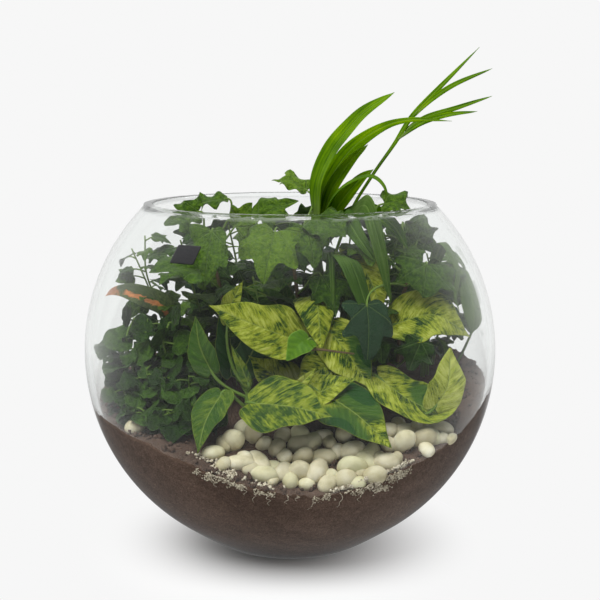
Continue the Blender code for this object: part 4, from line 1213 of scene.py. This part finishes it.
# %% Ivy finish
ivy, shader = new_finish("ivy_blade", Roughness=0.36, Specular_IOR_Level=0.25)
along, across, seed, edge, tone, share = place_on_leaf(shader)
side = abs(across)
angle = calc("ARCTAN2", side, along + 0.02)
away = calc("SQRT", along * along + side * side)
vein = 1 - step_up(calc("PINGPONG", angle, 0.42) * away, 0.010, 0.055)
wobble = noise((along, across, seed), 3.0, 4.0, 0.6)
cells = noise((along, across, seed), 9.0, 3.0, 0.6)
colour = ramp(
    0.32 * tone + 0.42 * cells + 0.5 * wobble,
    (0.36, (0.012, 0.038, 0.005)), (0.50, (0.030, 0.078, 0.008)),
    (0.64, (0.084, 0.170, 0.013)), (0.80, (0.175, 0.295, 0.022)),
)
bluish = step_up(tone, -0.1, -0.3)
colour = blend(0.55 * bluish, colour, (0.030, 0.068, 0.040))
colour = blend(0.40 * vein, colour, (0.17, 0.27, 0.08))
underside = step_up(edge, 1.02, 1.06)
paint(shader, blend(0.45 * underside, colour, (0.13, 0.21, 0.09)))
raise_by(shader, 1.8 * wobble + 0.4 * cells - 0.5 * vein, 0.8, 0.0026)
glow_through(shader, 0.25)

# %% Ivy leaves
# stem, height on it, width, facing, tone, midrib
IVY_LEAVES = {
    "bright": ("centre", 222, 42, (0, -0.85, 0.5), 0.75, ((-10, -52, 238), (-14, -62, 222), (-18, -66, 200))),
    "centre": ("centre", 228, 34, (0.3, -0.85, 0.4), 0.45, ((12, -44, 240), (15, -54, 228), (17, -57, 212))),
    "pale_left": (
        "left", 214, 32, (-0.15, -0.95, 0.3), 0.5, ((-53, -60, 238), (-56, -67, 220), (-58, -68, 201)),
    ),
    "wide_left": ("left", 196, 38, (0, -0.45, 0.9), 0.4, ((-62, -58, 211), (-80, -62, 214), (-98, -62, 208))),
    "bluish": ("right", 196, 39, (0.15, -0.95, 0.2), -0.4, ((53, -68, 188), (54, -76, 172), (53, -78, 152))),
    "low_right": (
        "right", 136, 30, (0.1, -0.95, 0.3), -0.1, ((91, -59, 161), (87, -61, 152), (83, -60, 141)),
    ),
    "right": ("right", 196, 44, (0.2, -0.85, 0.5), 0.3, ((96, -40, 213), (94, -48, 200), (92, -50, 187))),
    "rim_left": (
        "left", 226, 26, (-0.1, -0.85, 0.5), 0.4, ((-64, -36, 250), (-75, -36, 247), (-88, -34, 240)),
    ),
    "rim_centre": (
        "left", 222, 24, (0.1, -0.9, 0.3), 0.7, ((-38, -46, 240), (-32, -46, 247), (-26, -44, 257)),
    ),
    "back_rim": ("centre", 228, 20, (0, -0.5, 0.9), 0.8, ((12, 8, 262), (0, 12, 269), (-18, 16, 268))),
    "lip_left": ("left", 226, 20, (0, -0.4, 0.9), 0.4, ((-45, -34, 259), (-58, -33, 257), (-74, -31, 251))),
    "lip": ("centre", 226, 26, (0, -0.7, 0.7), 0.5, ((-22, -30, 244), (-10, -24, 252), (8, -14, 256))),
    "rim_right": ("right", 203, 26, (0.1, -0.6, 0.8), 0.5, ((66, -30, 255), (76, -30, 256), (88, -28, 248))),
    "hazy": ("right", 200, 44, (0.1, -0.9, 0.35), 0.2, ((84, 8, 236), (88, 2, 222), (88, -4, 202))),
    "far_right": ("right", 198, 26, (0.3, -0.9, 0.3), 0.4, ((93, 0, 226), (97, -2, 238), (98, 0, 246))),
    "mid_3": ("centre", 190, 30, (0.0, -0.9, 0.4), 0.2, ((22, -46, 206), (30, -52, 192), (32, -54, 176))),
    "top_mid": ("centre", 232, 34, (0.1, -0.7, 0.7), 0.4, ((20, -40, 246), (30, -48, 240), (42, -52, 230))),
}
for number, (name, row) in enumerate(IVY_LEAVES.items(), 31):
    stem, height, width, facing, tone, midrib = row
    blade = leaf_part(
        IVY, width, midrib, facing, 0.34, 3.4, (9, 56), number, tone, thick=0.4, cup=-0.36, ragged=2.2
    )
    stalk = stalk_part(stem_point("ivy_stem_" + stem, height), midrib, facing, 0.8, number)
    add_leaf("ivy_leaf_" + name, [blade, stalk], [ivy, stalk_finish])
print("ivy leaves:", len(IVY_LEAVES))


# %% Vines
GOLDEN_TURN = 2.4


def vine(points, outline, count, sizes, seed, lean=(0, -0.5, 0.5), tone=0.3, grid=(5, 32), reach=12.0,
         radius=0.9, first=0.18, spread=3.2, wave=0.08, toss=0.28):
    """A thin stem with leaves all round it: each stands off by its stalk, droops, and faces out and up.

    Leaf i leaves at an even share of the stem's length, at an angle that turns 137.5 degrees a step.
    """
    rng = np.random.default_rng(seed)
    shares = np.linspace(0, 1, 30)
    path = kept_inside(curve_at(points, shares), 5.0)
    parts = [tube(path, radius * (1.2 - 0.5 * shares), 7, finish=1, seed=seed)]
    for i in range(count):
        share = first + (1 - first) * (i + rng.uniform(0, 0.6)) / count
        start = curve_at(path, [min(share, 1.0)])[0]
        turn = i * GOLDEN_TURN + rng.uniform(-0.4, 0.4) + seed
        size = rng.uniform(*sizes)
        out = np.array((math.cos(turn), 0.75 * math.sin(turn) - 0.35, 0.0)) + np.array(lean) * 0.35
        out = unit((out[0], out[1], 0))
        base = start + out * reach * rng.uniform(0.6, 1.4) + np.array((0, 0, rng.uniform(0, spread)))
        drop = rng.uniform(0.2, 0.9)
        middle = base + out * size * 0.42 + np.array((0, 0, -0.12 * size * drop))
        tip = middle + out * size * (0.5 - 0.3 * drop) + np.array((0, 0, -0.5 * size * drop))
        midrib = kept_inside(np.array((base, middle, tip)), 3.0)
        facing = unit(out * 0.55 + np.array(lean) + rng.normal(0, toss, 3) + (0, 0, 0.35))
        shade = tone + rng.uniform(-0.35, 0.35)
        parts.append(leaf_part(
            outline, size * 0.95, midrib, facing, 0.25, wave * size, grid, seed * 50 + i, shade,
            thick=0.35, cup=-0.2, ragged=1.8,
        ))
        parts.append(stalk_part(start, midrib, facing, 0.55, i))
    return parts


VINES = (
    ((-55, 0, 116), (-62, -5, 160), (-72, -14, 200), (-78, -22, 228)),
    ((-30, 5, 118), (-34, 0, 160), (-38, -8, 205), (-44, -16, 238)),
    ((0, 12, 120), (-8, 6, 160), (-10, -2, 205), (-14, -8, 240)),
    ((34, 0, 120), (36, -8, 160), (40, -12, 200), (44, -16, 236)),
    ((62, 5, 122), (66, 0, 165), (72, -8, 205), (78, -14, 232)),
    ((92, 18, 124), (94, 16, 160), (97, 12, 190), (96, 10, 212)),
    ((48, -18, 118), (56, -22, 146), (64, -24, 166), (70, -24, 184)),
    ((-12, -30, 114), (-16, -36, 150), (-20, -40, 176), (-26, -40, 204)),
    ((108, 30, 124), (112, 28, 160), (108, 26, 190), (102, 22, 214)),
    ((0, 30, 120), (-4, 30, 160), (2, 32, 200), (6, 28, 236)),
    ((40, 32, 122), (44, 32, 160), (46, 34, 200), (52, 30, 232)),
    ((-44, 28, 120), (-46, 30, 160), (-50, 30, 200), (-54, 26, 230)),
    ((20, 18, 120), (14, 8, 150), (12, 0, 180), (10, -6, 206)),
)
for number, points in enumerate(VINES, 1):
    sizes = (22, 33) if number < 8 else (20, 30)
    tone = 0.25 if number < 10 else 0.0
    parts = vine(points, IVY, 13, sizes, number, tone=tone)
    add_piece(f"ivy_vine_{number}", parts, [ivy, stalk_finish])

LEFT_TIPS = (
    ((-70, 8, 116), (-90, 0, 165), (-104, -6, 200), (-105, -8, 230)),
    ((-72, 8, 114), (-92, 4, 160), (-106, 2, 196), (-116, 0, 220)),
)
for number, points in enumerate(LEFT_TIPS, 21):
    parts = vine(points, IVY, 11, (12, 19), number, tone=0.3, reach=8.0, radius=0.8)
    add_piece(f"ivy_tips_{number}", parts, [ivy, stalk_finish])
print("vines:", len(VINES) + len(LEFT_TIPS))

# %% [markdown]
# ## Ivy sprigs at the back
#
# The back of the bowl is planted too. Each sprig is one stem with leaves of its own on it, where the
# solids have them, and a second vine of smaller leaves round it.

# %% Back sprigs
# root, points of the stem, leaves as (x, y, z, size)
BACK_SPRIGS = {
    "ivy_sprig_back_left": (
        (-64, 55), ((-66, 58, 160), (-70, 62, 195), (-64, 58, 225)),
        (
            (-84, 68, 164, 24), (-56, 74, 176, 22), (-88, 60, 192, 24), (-56, 72, 206, 24),
            (-80, 56, 226, 22), (-50, 48, 234, 22),
        ),
    ),
    "ivy_sprig_back_centre": (
        (-5, 77), ((-4, 80, 160), (0, 84, 195), (4, 76, 226)),
        (
            (-22, 90, 160, 24), (14, 94, 172, 22), (-18, 94, 194, 24), (19, 86, 206, 22), (-12, 76, 234, 22),
            (16, 64, 242, 22),
        ),
    ),
    "ivy_sprig_back_right": (
        (74, 57), ((76, 60, 160), (80, 62, 195), (72, 56, 226)),
        (
            (94, 68, 164, 24), (62, 76, 174, 22), (98, 56, 192, 22), (63, 70, 206, 24), (90, 46, 226, 22),
            (58, 42, 236, 22),
        ),
    ),
}


def sprig(root, points, leaves, outline, lean, seed, shape=0.95, grow=1.1, tone=0.35):
    """A stem with leaves at given places: each starts at the nearest point of the stem and points out."""
    path = curve_at(rooted(root, points), np.linspace(0, 1, 40))
    parts = [tube(path, 1.2 * np.linspace(1, 0.65, 40), 9, finish=1, seed=seed)]
    for i, (x, y, z, size) in enumerate(leaves):
        centre = np.array((x, y, z), float)
        start = path[8:][np.argmin(np.linalg.norm(path[8:] - centre, axis=1))]
        out = unit(unit(centre - start) + np.array((0, 0, 0.1)))
        facing = unit(np.array((x, y, 0)) / BOWL_RADIUS + np.array(lean))
        size = size * grow
        droop = np.array((0, 0, -0.10 * size))
        midrib = np.array((centre - out * size * 0.5, centre, centre + out * size * 0.48 + droop))
        shade = tone + 0.2 * math.sin(i * 2.3 + seed)
        parts.append(leaf_part(
            outline, size * shape, midrib, facing, 0.08, 0.06 * size, (6, 36), seed * 20 + i, shade, thick=0.4
        ))
        parts.append(stalk_part(start, midrib, facing, 0.7, i))
    return parts


for number, (name, (root, points, leaves)) in enumerate(BACK_SPRIGS.items(), 1):
    parts = sprig(root, points, leaves, IVY, (0, 0.5, 0.9), number)
    nearer = rooted((root[0] * 0.8, root[1] * 0.8), points)
    parts += vine(nearer, IVY, 14, (18, 27), 60 + number, lean=(0, 0.5, 0.6), first=0.3)
    add_piece(name + "_grown", parts, [ivy, stalk_finish], [name])
print("back sprigs:", len(BACK_SPRIGS))

# %% [markdown]
# ## Palm, grass and other straps
#
# A strap leaf is one blade from foot to tip. Its section is a thin lens folded into a shallow V, and
# the surface carries that section along the midrib curve while its width follows a table. The veins of
# a palm or grass leaf run the length of the blade, so the finish draws them as lines of constant
# distance from the midrib.

# %% Strap shape
SHALLOW_V = 0.35
# share of the length, share of the full width
STRAP = ((0, 0.05), (0.08, 0.5), (0.25, 0.87), (0.5, 1), (0.75, 0.76), (0.92, 0.37), (1, 0))
DRAWN_OUT = ((0, 0.05), (0.08, 0.5), (0.22, 0.9), (0.38, 1), (0.55, 0.72), (0.7, 0.42), (0.85, 0.26), (1, 0))
STALKED = (
    (0, 0.0), (0.2, 0.0), (0.42, 0.06), (0.5, 0.5), (0.62, 0.92), (0.72, 1), (0.85, 0.76), (0.95, 0.37),
    (1, 0),
)
END_LEAFLET = ((0, 0.4), (0.2, 0.5), (0.5, 0.6), (0.62, 0.85), (0.75, 1), (0.85, 0.8), (0.95, 0.35), (1, 0))


def strap_part(points, width, facing, foot, table, seed=0, stations=44, around=16, tone=0.5, thick=0.5):
    """A blade: at each station, (cos u, sin u) times the half-width and half-thickness, folded by |cos u|.

    The square root of cos u keeps the section full towards its margins.
    """
    shares = np.linspace(0, 1, stations)
    path = curve_at(points, shares)
    length = distance_along(path)[-1]
    forward, sideways, upward = frames_along(path, facing)
    places, widths = np.array(table).T
    outline = curve_at(np.column_stack((places * length, widths * width / 2)), np.linspace(0, 1, 200))
    half = np.interp(shares * length, *np.maximum(outline, 0).T)
    half = np.maximum(half, foot * np.interp(shares, (0, 0.9, 1), (1, 0.35, 0.1)))
    depth = np.interp(shares, (0, 0.15, 0.5, 1), (foot, max(foot * 0.7, thick), thick * 0.9, thick * 0.3))
    flatness = np.clip(half / foot - 1, 0, 1)
    turn = turns(around)
    across = squared(np.cos(turn), 0.5) * half[:, None]
    fold = SHALLOW_V * flatness * (0.6 + 0.4 * np.cos(shares * 5 + seed))
    through = np.sin(turn) * depth[:, None] + fold[:, None] * np.abs(across)
    rings = path[:, None] + across[..., None] * sideways[:, None] + through[..., None] * upward[:, None]
    rings = kept_inside(rings)
    ends = rings[0].mean(axis=0), rings[-1].mean(axis=0)
    values = np.stack(np.broadcast_arrays((shares * length / 10)[:, None], across / 10, float(seed)), -1)
    looks = np.stack(np.broadcast_arrays(np.abs(np.cos(turn)), tone, shares[:, None]), -1)
    values = np.vstack((values.reshape(-1, 3), values[0, 0], values[-1, -1]))
    looks = np.vstack((looks.reshape(-1, 3), looks[0, 0], looks[-1, -1]))
    return {"shell": shell(rings, *ends), "leaf": values, "look": looks}


# %% Strap finish
def strap_finish(name, *stops):
    """Fine lines along the blade, a paler rib and foot, and clouds of light and dark between the stops."""
    made, shader = new_finish(name, Roughness=0.5, Specular_IOR_Level=0.12)
    along, across, seed, _, tone, share = place_on_leaf(shader)
    lines = 0.5 + 0.5 * calc("SINE", 26.0 * across)
    grain = noise((0.35 * along, 5.0 * across, seed), 1.0, 3.0, 0.6)
    clouds = noise((along, across, seed), 0.45, 2.0)
    colour = ramp(0.35 * clouds + 0.30 * tone + 0.45 * grain + 0.04 * lines, *stops)
    rib = 1 - step_up(abs(across), 0.01, 0.05)
    colour = blend(0.35 * rib, colour, (0.24, 0.38, 0.08))
    pale_foot = 1 - step_up(share, 0.05, 0.22)
    paint(shader, blend(0.55 * pale_foot, colour, (0.30, 0.40, 0.12)))
    raise_by(shader, 0.5 * lines + grain - 1.2 * rib, 0.18, 0.0006)
    glow_through(shader, 0.38)
    return made


strap = strap_finish(
    "palm_blade",
    (0.36, (0.022, 0.072, 0.0005)), (0.50, (0.065, 0.17, 0.0005)), (0.62, (0.15, 0.31, 0.0005)),
    (0.76, (0.29, 0.46, 0.001)), (0.90, (0.40, 0.54, 0.01)),
)
# the palm finish made greyer and darker: partly these blades' own grey-green and partly painted shade for
# blades that stand in shadow
grey_shaded_strap = strap_finish(
    "shaded_blade",
    (0.36, (0.020, 0.058, 0.008)), (0.50, (0.050, 0.115, 0.014)), (0.62, (0.095, 0.180, 0.030)),
    (0.76, (0.16, 0.26, 0.060)), (0.90, (0.24, 0.34, 0.10)),
)
print("strap finishes ready")

# %% Palm leaves
# height on the cane, width, facing, tone, points
CANE_LEAVES = {
    "tall": (
        236, 19, (-0.5, -0.8, 0.3), 0.62,
        ((21, -7, 268), (30, -10, 290), (42, -14, 307), (54, -16, 320), (74, -18, 333)),
    ),
    "long": (
        242, 12, (0.1, -0.75, 0.65), 0.62,
        ((26, 5, 264), (43, 8, 290), (66, 10, 307), (88, 11, 313), (118, 12, 312)),
    ),
    "arched": (
        228, 8, (0, -0.5, 0.85), 0.30,
        ((30, -12, 256), (41, -17, 268), (56, -21, 274), (66, -24, 268), (71, -26, 254)),
    ),
    "hanging": (
        222, 15, (0.1, -0.4, 0.9), 0.6,
        ((44, -14, 246), (53, -44, 255), (58, -57, 243), (63, -60, 224), (67, -60, 205), (70, -59, 188)),
    ),
    "short_front": (
        214, 15, (0.2, -0.4, 0.9), 0.35, ((33, -14, 238), (38, -34, 246), (48, -45, 232), (59, -49, 216)),
    ),
    "dark": (206, 14, (0.1, -0.5, 0.8), 0.1, ((17, -16, 232), (23, -30, 240), (30, -37, 226))),
    "inner": (232, 11, (-0.2, -0.8, 0.4), 0.62, ((30, -4, 262), (44, -8, 284), (56, -10, 296))),
    "side": (226, 12, (-0.1, -0.8, 0.5), 0.58, ((36, 2, 252), (50, -4, 270), (60, -8, 278))),
    "low": (218, 13, (0.2, -0.6, 0.7), 0.2, ((40, -4, 242), (58, -14, 248), (74, -22, 238), (84, -26, 222))),
}
# the palm blades that take the greyer, darker finish with its painted shade
SHADED = ("hanging", "short_front", "dark")
for number, (name, row) in enumerate(CANE_LEAVES.items(), 61):
    height, width, facing, tone, points = row
    start = stem_point("palm_cane", height)
    out = np.array(points[0], float) - start
    out = unit((out[0], out[1], 0))
    points = (start, start + out * 6 + (0, 0, 7), *points)
    table = DRAWN_OUT if name == "long" else STRAP
    part = strap_part(points, width, facing, 1.2, table, number, tone=tone)
    finish = grey_shaded_strap if name in SHADED else strap
    add_leaf("palm_leaf_" + name, [part], [finish])
print("palm leaves:", len(CANE_LEAVES))

# %% Palm frond
FROND_FACING = (-0.5, -0.8, 0.3)
FROND_TONE = 0.50
FROND_STALK = ((44, 16, 244), (60, 20, 271), (77, 24, 295), (90, 26, 315), (110, 28, 336), (139, 28, 365.5))
FROND_LEAFLETS = (
    ((88, 26, 312), (104, 25, 327), (122, 24, 339), (148, 22, 350)),
    ((82, 25, 303), (99, 24, 314), (121, 22, 321), (148, 20, 330)),
    ((79, 24, 298), (96, 21, 310), (114, 18, 316), (137, 16, 319)),
)
start = stem_point("palm_cane", 190)
points = (start, start + np.array((7, 1, 14)), *FROND_STALK)
parts = [strap_part(points, 4.8, FROND_FACING, 1.3, END_LEAFLET, 80, 70, tone=FROND_TONE)]
for number, points in enumerate(FROND_LEAFLETS, 81):
    parts.append(strap_part(points, 4.4, FROND_FACING, 0.7, STRAP, number, tone=FROND_TONE))
add_piece("palm_frond_grown", parts, [strap], ["palm_frond"])
print("frond leaflets:", len(FROND_LEAFLETS))

# %% Blades from the soil
# root, width, facing, tone, points
SOIL_BLADES = {
    "grass_blade_right": (
        (102, 6), 14, (0.2, -0.3, 0.9), 0.75,
        ((102, 0, 180), (106, -4, 216), (113, -10, 225), (122, -17, 206), (119, -23, 188), (121, -27, 177)),
    ),
    "grass_blade_glass": (
        (124, 12), 20, (0.3, -0.95, 0.0), 0.65,
        ((131, 8, 147), (135, 3, 160), (135, 1, 177), (131, 5, 194), (122, 10, 207)),
    ),
    "pointed_leaf": (
        (44, -30), 20, (-0.1, -0.5, 0.85), 0.35,
        ((44, -34, 150), (38, -38, 200), (37, -46, 219), (43, -58, 214), (51, -65, 192), (58, -67, 170)),
    ),
}
for number, (name, (root, width, facing, tone, points)) in enumerate(SOIL_BLADES.items(), 91):
    part = strap_part(rooted(root, points), width, facing, 1.3, STALKED, number, 60, tone=tone)
    add_piece(name + "_grown", [part], [grey_shaded_strap], [name])

# root, width, tone, points
GRASSES = (
    ((26, -20), 6, 0.5, ((27, -30, 160), (28, -40, 210), (29, -47, 222), (30, -52, 200), (30, -54, 172))),
    ((98, 0), 7, 0.3, ((100, -6, 170), (98, -12, 200), (106, -20, 214), (116, -24, 190))),
    ((60, -5), 5, 0.4, ((62, -14, 170), (60, -24, 200), (52, -32, 206), (44, -36, 190))),
    ((118, 6), 5, 0.5, ((116, -6, 140), (112, -14, 152), (104, -20, 158))),
    ((-20, -10), 5, 0.3, ((-24, -18, 160), (-36, -26, 205), (-52, -30, 214), (-66, -32, 206))),
    ((-28, -8), 4, 0.4, ((-30, -18, 165), (-40, -24, 196), (-52, -30, 202), (-60, -34, 196))),
    ((-40, -6), 4, 0.3, ((-46, -14, 170), (-40, -22, 200), (-28, -30, 208), (-16, -36, 202))),
)
parts = []
for number, (root, width, tone, points) in enumerate(GRASSES, 101):
    points = rooted(root, points)
    parts.append(strap_part(points, width, (0, -0.6, 0.8), 0.7, STRAP, number, tone=tone, thick=0.3))
add_piece("grass_tuft", parts, [grey_shaded_strap])
print("blades from the soil:", len(SOIL_BLADES) + len(GRASSES))

# %% [markdown]
# ## The croton leaf
#
# One croton leaf reaches the left glass. It is olive green with a ragged orange stripe along the midrib
# and a salmon tip.

# %% Croton finish
croton, shader = new_finish("croton_blade", Roughness=0.36, Specular_IOR_Level=0.25)
along, across, seed, _, _, share = place_on_leaf(shader)
side = abs(across)
ragged = noise((along, across, seed), 2.6, 4.0, 0.65)
grain = noise((along - 0.8 * side, side, seed), 6.0, 3.0)
green = ramp(grain, (0.3, (0.045, 0.075, 0.022)), (0.7, (0.13, 0.18, 0.05)))
orange = ramp(grain, (0.3, (0.62, 0.20, 0.06)), (0.7, (0.80, 0.34, 0.12)))
stripe = 1 - step_up(0.9 * ragged + abs(across + 0.22), 0.60, 0.66)
stripe = stripe * step_up(share, 0.50, 0.56) * (1 - step_up(share, 0.84, 0.88))
tip = step_up(0.10 * ragged + share, 0.935, 0.975)
paint(shader, blend(0.9 * tip, blend(stripe, green, orange), (0.62, 0.25, 0.12)))
raise_by(shader, grain, 0.3, 0.0008)

# %% Croton leaf
CROTON = (
    (0, 0.0), (0.2, 0.0), (0.38, 0.06), (0.48, 0.5), (0.58, 0.85), (0.68, 1), (0.80, 0.80), (0.90, 0.42),
    (0.96, 0.18), (1, 0),
)
CROTON_POINTS = (
    (-82, -10, 160), (-90, -18, 180), (-104, -20, 188), (-118, -16, 191), (-128, -12, 190), (-135, -8, 186),
)
part = strap_part(rooted((-78, -4), CROTON_POINTS), 18, (0, -0.75, 0.65), 1.3, CROTON, 7, 64, 20)
add_piece("croton_grown", [part], [croton], ["croton_leaf"])
print("croton ready")

# %% [markdown]
# ## The creeper
#
# A low plant with small, round, crinkled leaves mounds up against the left glass. Its stems fork and
# root as they go, so it is made as short sprigs with many overlapping leaves. The sprigs of the solids
# keep their places.

# %% Creeper finish
creeper, shader = new_finish("creeper_blade", Roughness=0.36, Specular_IOR_Level=0.25)
along, across, seed, edge, tone, _ = place_on_leaf(shader)
crinkle = noise((along, across, seed), 3.2, 3.0, 0.6, 0.6)
fine = noise((along, across, seed), 11.0, 3.0)
colour = ramp(
    0.32 * tone + 0.55 * crinkle + 0.25 * fine,
    (0.40, (0.008, 0.026, 0.004)), (0.54, (0.024, 0.062, 0.007)),
    (0.68, (0.056, 0.125, 0.012)), (0.84, (0.13, 0.23, 0.025)),
)
margin = 1 - abs(edge - 1.0)
paint(shader, blend(0.25 * step_up(margin, 0.90, 0.99), colour, (0.16, 0.28, 0.09)))
raise_by(shader, 0.3 * fine + crinkle, 0.8, 0.0030)
glow_through(shader, 0.2)

# %% Creeper in place
# root, points of the stem, leaves as (x, y, z, size)
CREEPERS = {
    "creeper_sprig_outer": (
        (-104, -26), ((-112, -32, 136), (-117, -26, 158), (-112, -22, 172)),
        (
            (-122, -44, 139, 20), (-113, -46, 122, 17), (-116, -34, 176, 15), (-124, -26, 157, 19),
            (-103, -38, 150, 17), (-106, -26, 167, 14), (-126, -14, 140, 15),
        ),
    ),
    "creeper_sprig_front": (
        (-84, -58), ((-86, -60, 112), (-92, -63, 119), (-101, -62, 124)),
        (
            (-108, -64, 120, 15), (-95, -77, 118, 15), (-79, -82, 115, 16), (-70, -74, 123, 15),
            (-88, -72, 132, 14),
        ),
    ),
    "creeper_sprig_inner": (
        (-78, -30), ((-84, -36, 136), (-90, -36, 156), (-86, -32, 170)),
        (
            (-93, -44, 161, 17), (-80, -52, 141, 18), (-98, -50, 138, 16), (-74, -44, 158, 17),
            (-80, -40, 176, 15), (-70, -56, 128, 15),
        ),
    ),
}
for number, (name, (root, points, leaves)) in enumerate(CREEPERS.items(), 31):
    parts = sprig(root, points, leaves, ROUND, (0, -0.6, 0.6), number, shape=1.0, grow=1.15, tone=0.55)
    add_piece(name + "_grown", parts, [creeper, stalk_finish], [name])

# x and y of the root, x, y and z of the tip
CREEPER_ROOTS = (
    (-112, -20, -118, -24, 150), (-108, -44, -118, -50, 128), (-98, -20, -102, -26, 172),
    (-94, -46, -100, -56, 142), (-84, -12, -88, -20, 168), (-80, -48, -84, -60, 136),
    (-70, -22, -74, -34, 158), (-66, -50, -70, -62, 138), (-58, -34, -62, -46, 148),
    (-96, -66, -100, -74, 116), (-76, -72, -80, -82, 118), (-114, 0, -122, -4, 150),
    (-60, -66, -64, -76, 118), (-92, 4, -98, 0, 168), (-72, 0, -76, -8, 176),
)
for number, (x, y, to_x, to_y, to_z) in enumerate(CREEPER_ROOTS, 1):
    foot = soil_height(x, y)
    points = ((x, y, foot - 4), ((x + to_x) / 2 - 2, (y + to_y) / 2, (foot + to_z) / 2), (to_x, to_y, to_z))
    parts = vine(
        points, ROUND, 11, (13, 20), 200 + number, (-0.1, -0.6, 0.5), 0.35, (5, 22),
        reach=7.0, radius=0.7, first=0.1, spread=2.0, wave=0.16, toss=0.45,
    )
    add_piece(f"creeper_stem_{number:02d}", parts, [creeper, stalk_finish])
print("creeper stems:", len(CREEPERS) + len(CREEPER_ROOTS))

# %% [markdown]
# ## A dry twig
#
# A short brown twig crosses in front of the marbled leaves, on a stub that comes up from behind it.

# %% Twig
TWIG = ((13, -72, 158), (22, -76, 158.5), (32, -78, 157.5), (44, -78, 156))
STUB = ((14, -46, 150), (12, -60, 156), (13, -72, 158))
parts = [
    tube(curve_at(TWIG, np.linspace(0, 1, 20)), np.linspace(1.0, 0.6, 20), 8, seed=3),
    tube(curve_at(STUB, np.linspace(0, 1, 14)), 1.0, 8, seed=4),
]
add_piece("dry_twig", parts, [bark])
print("twig ready")
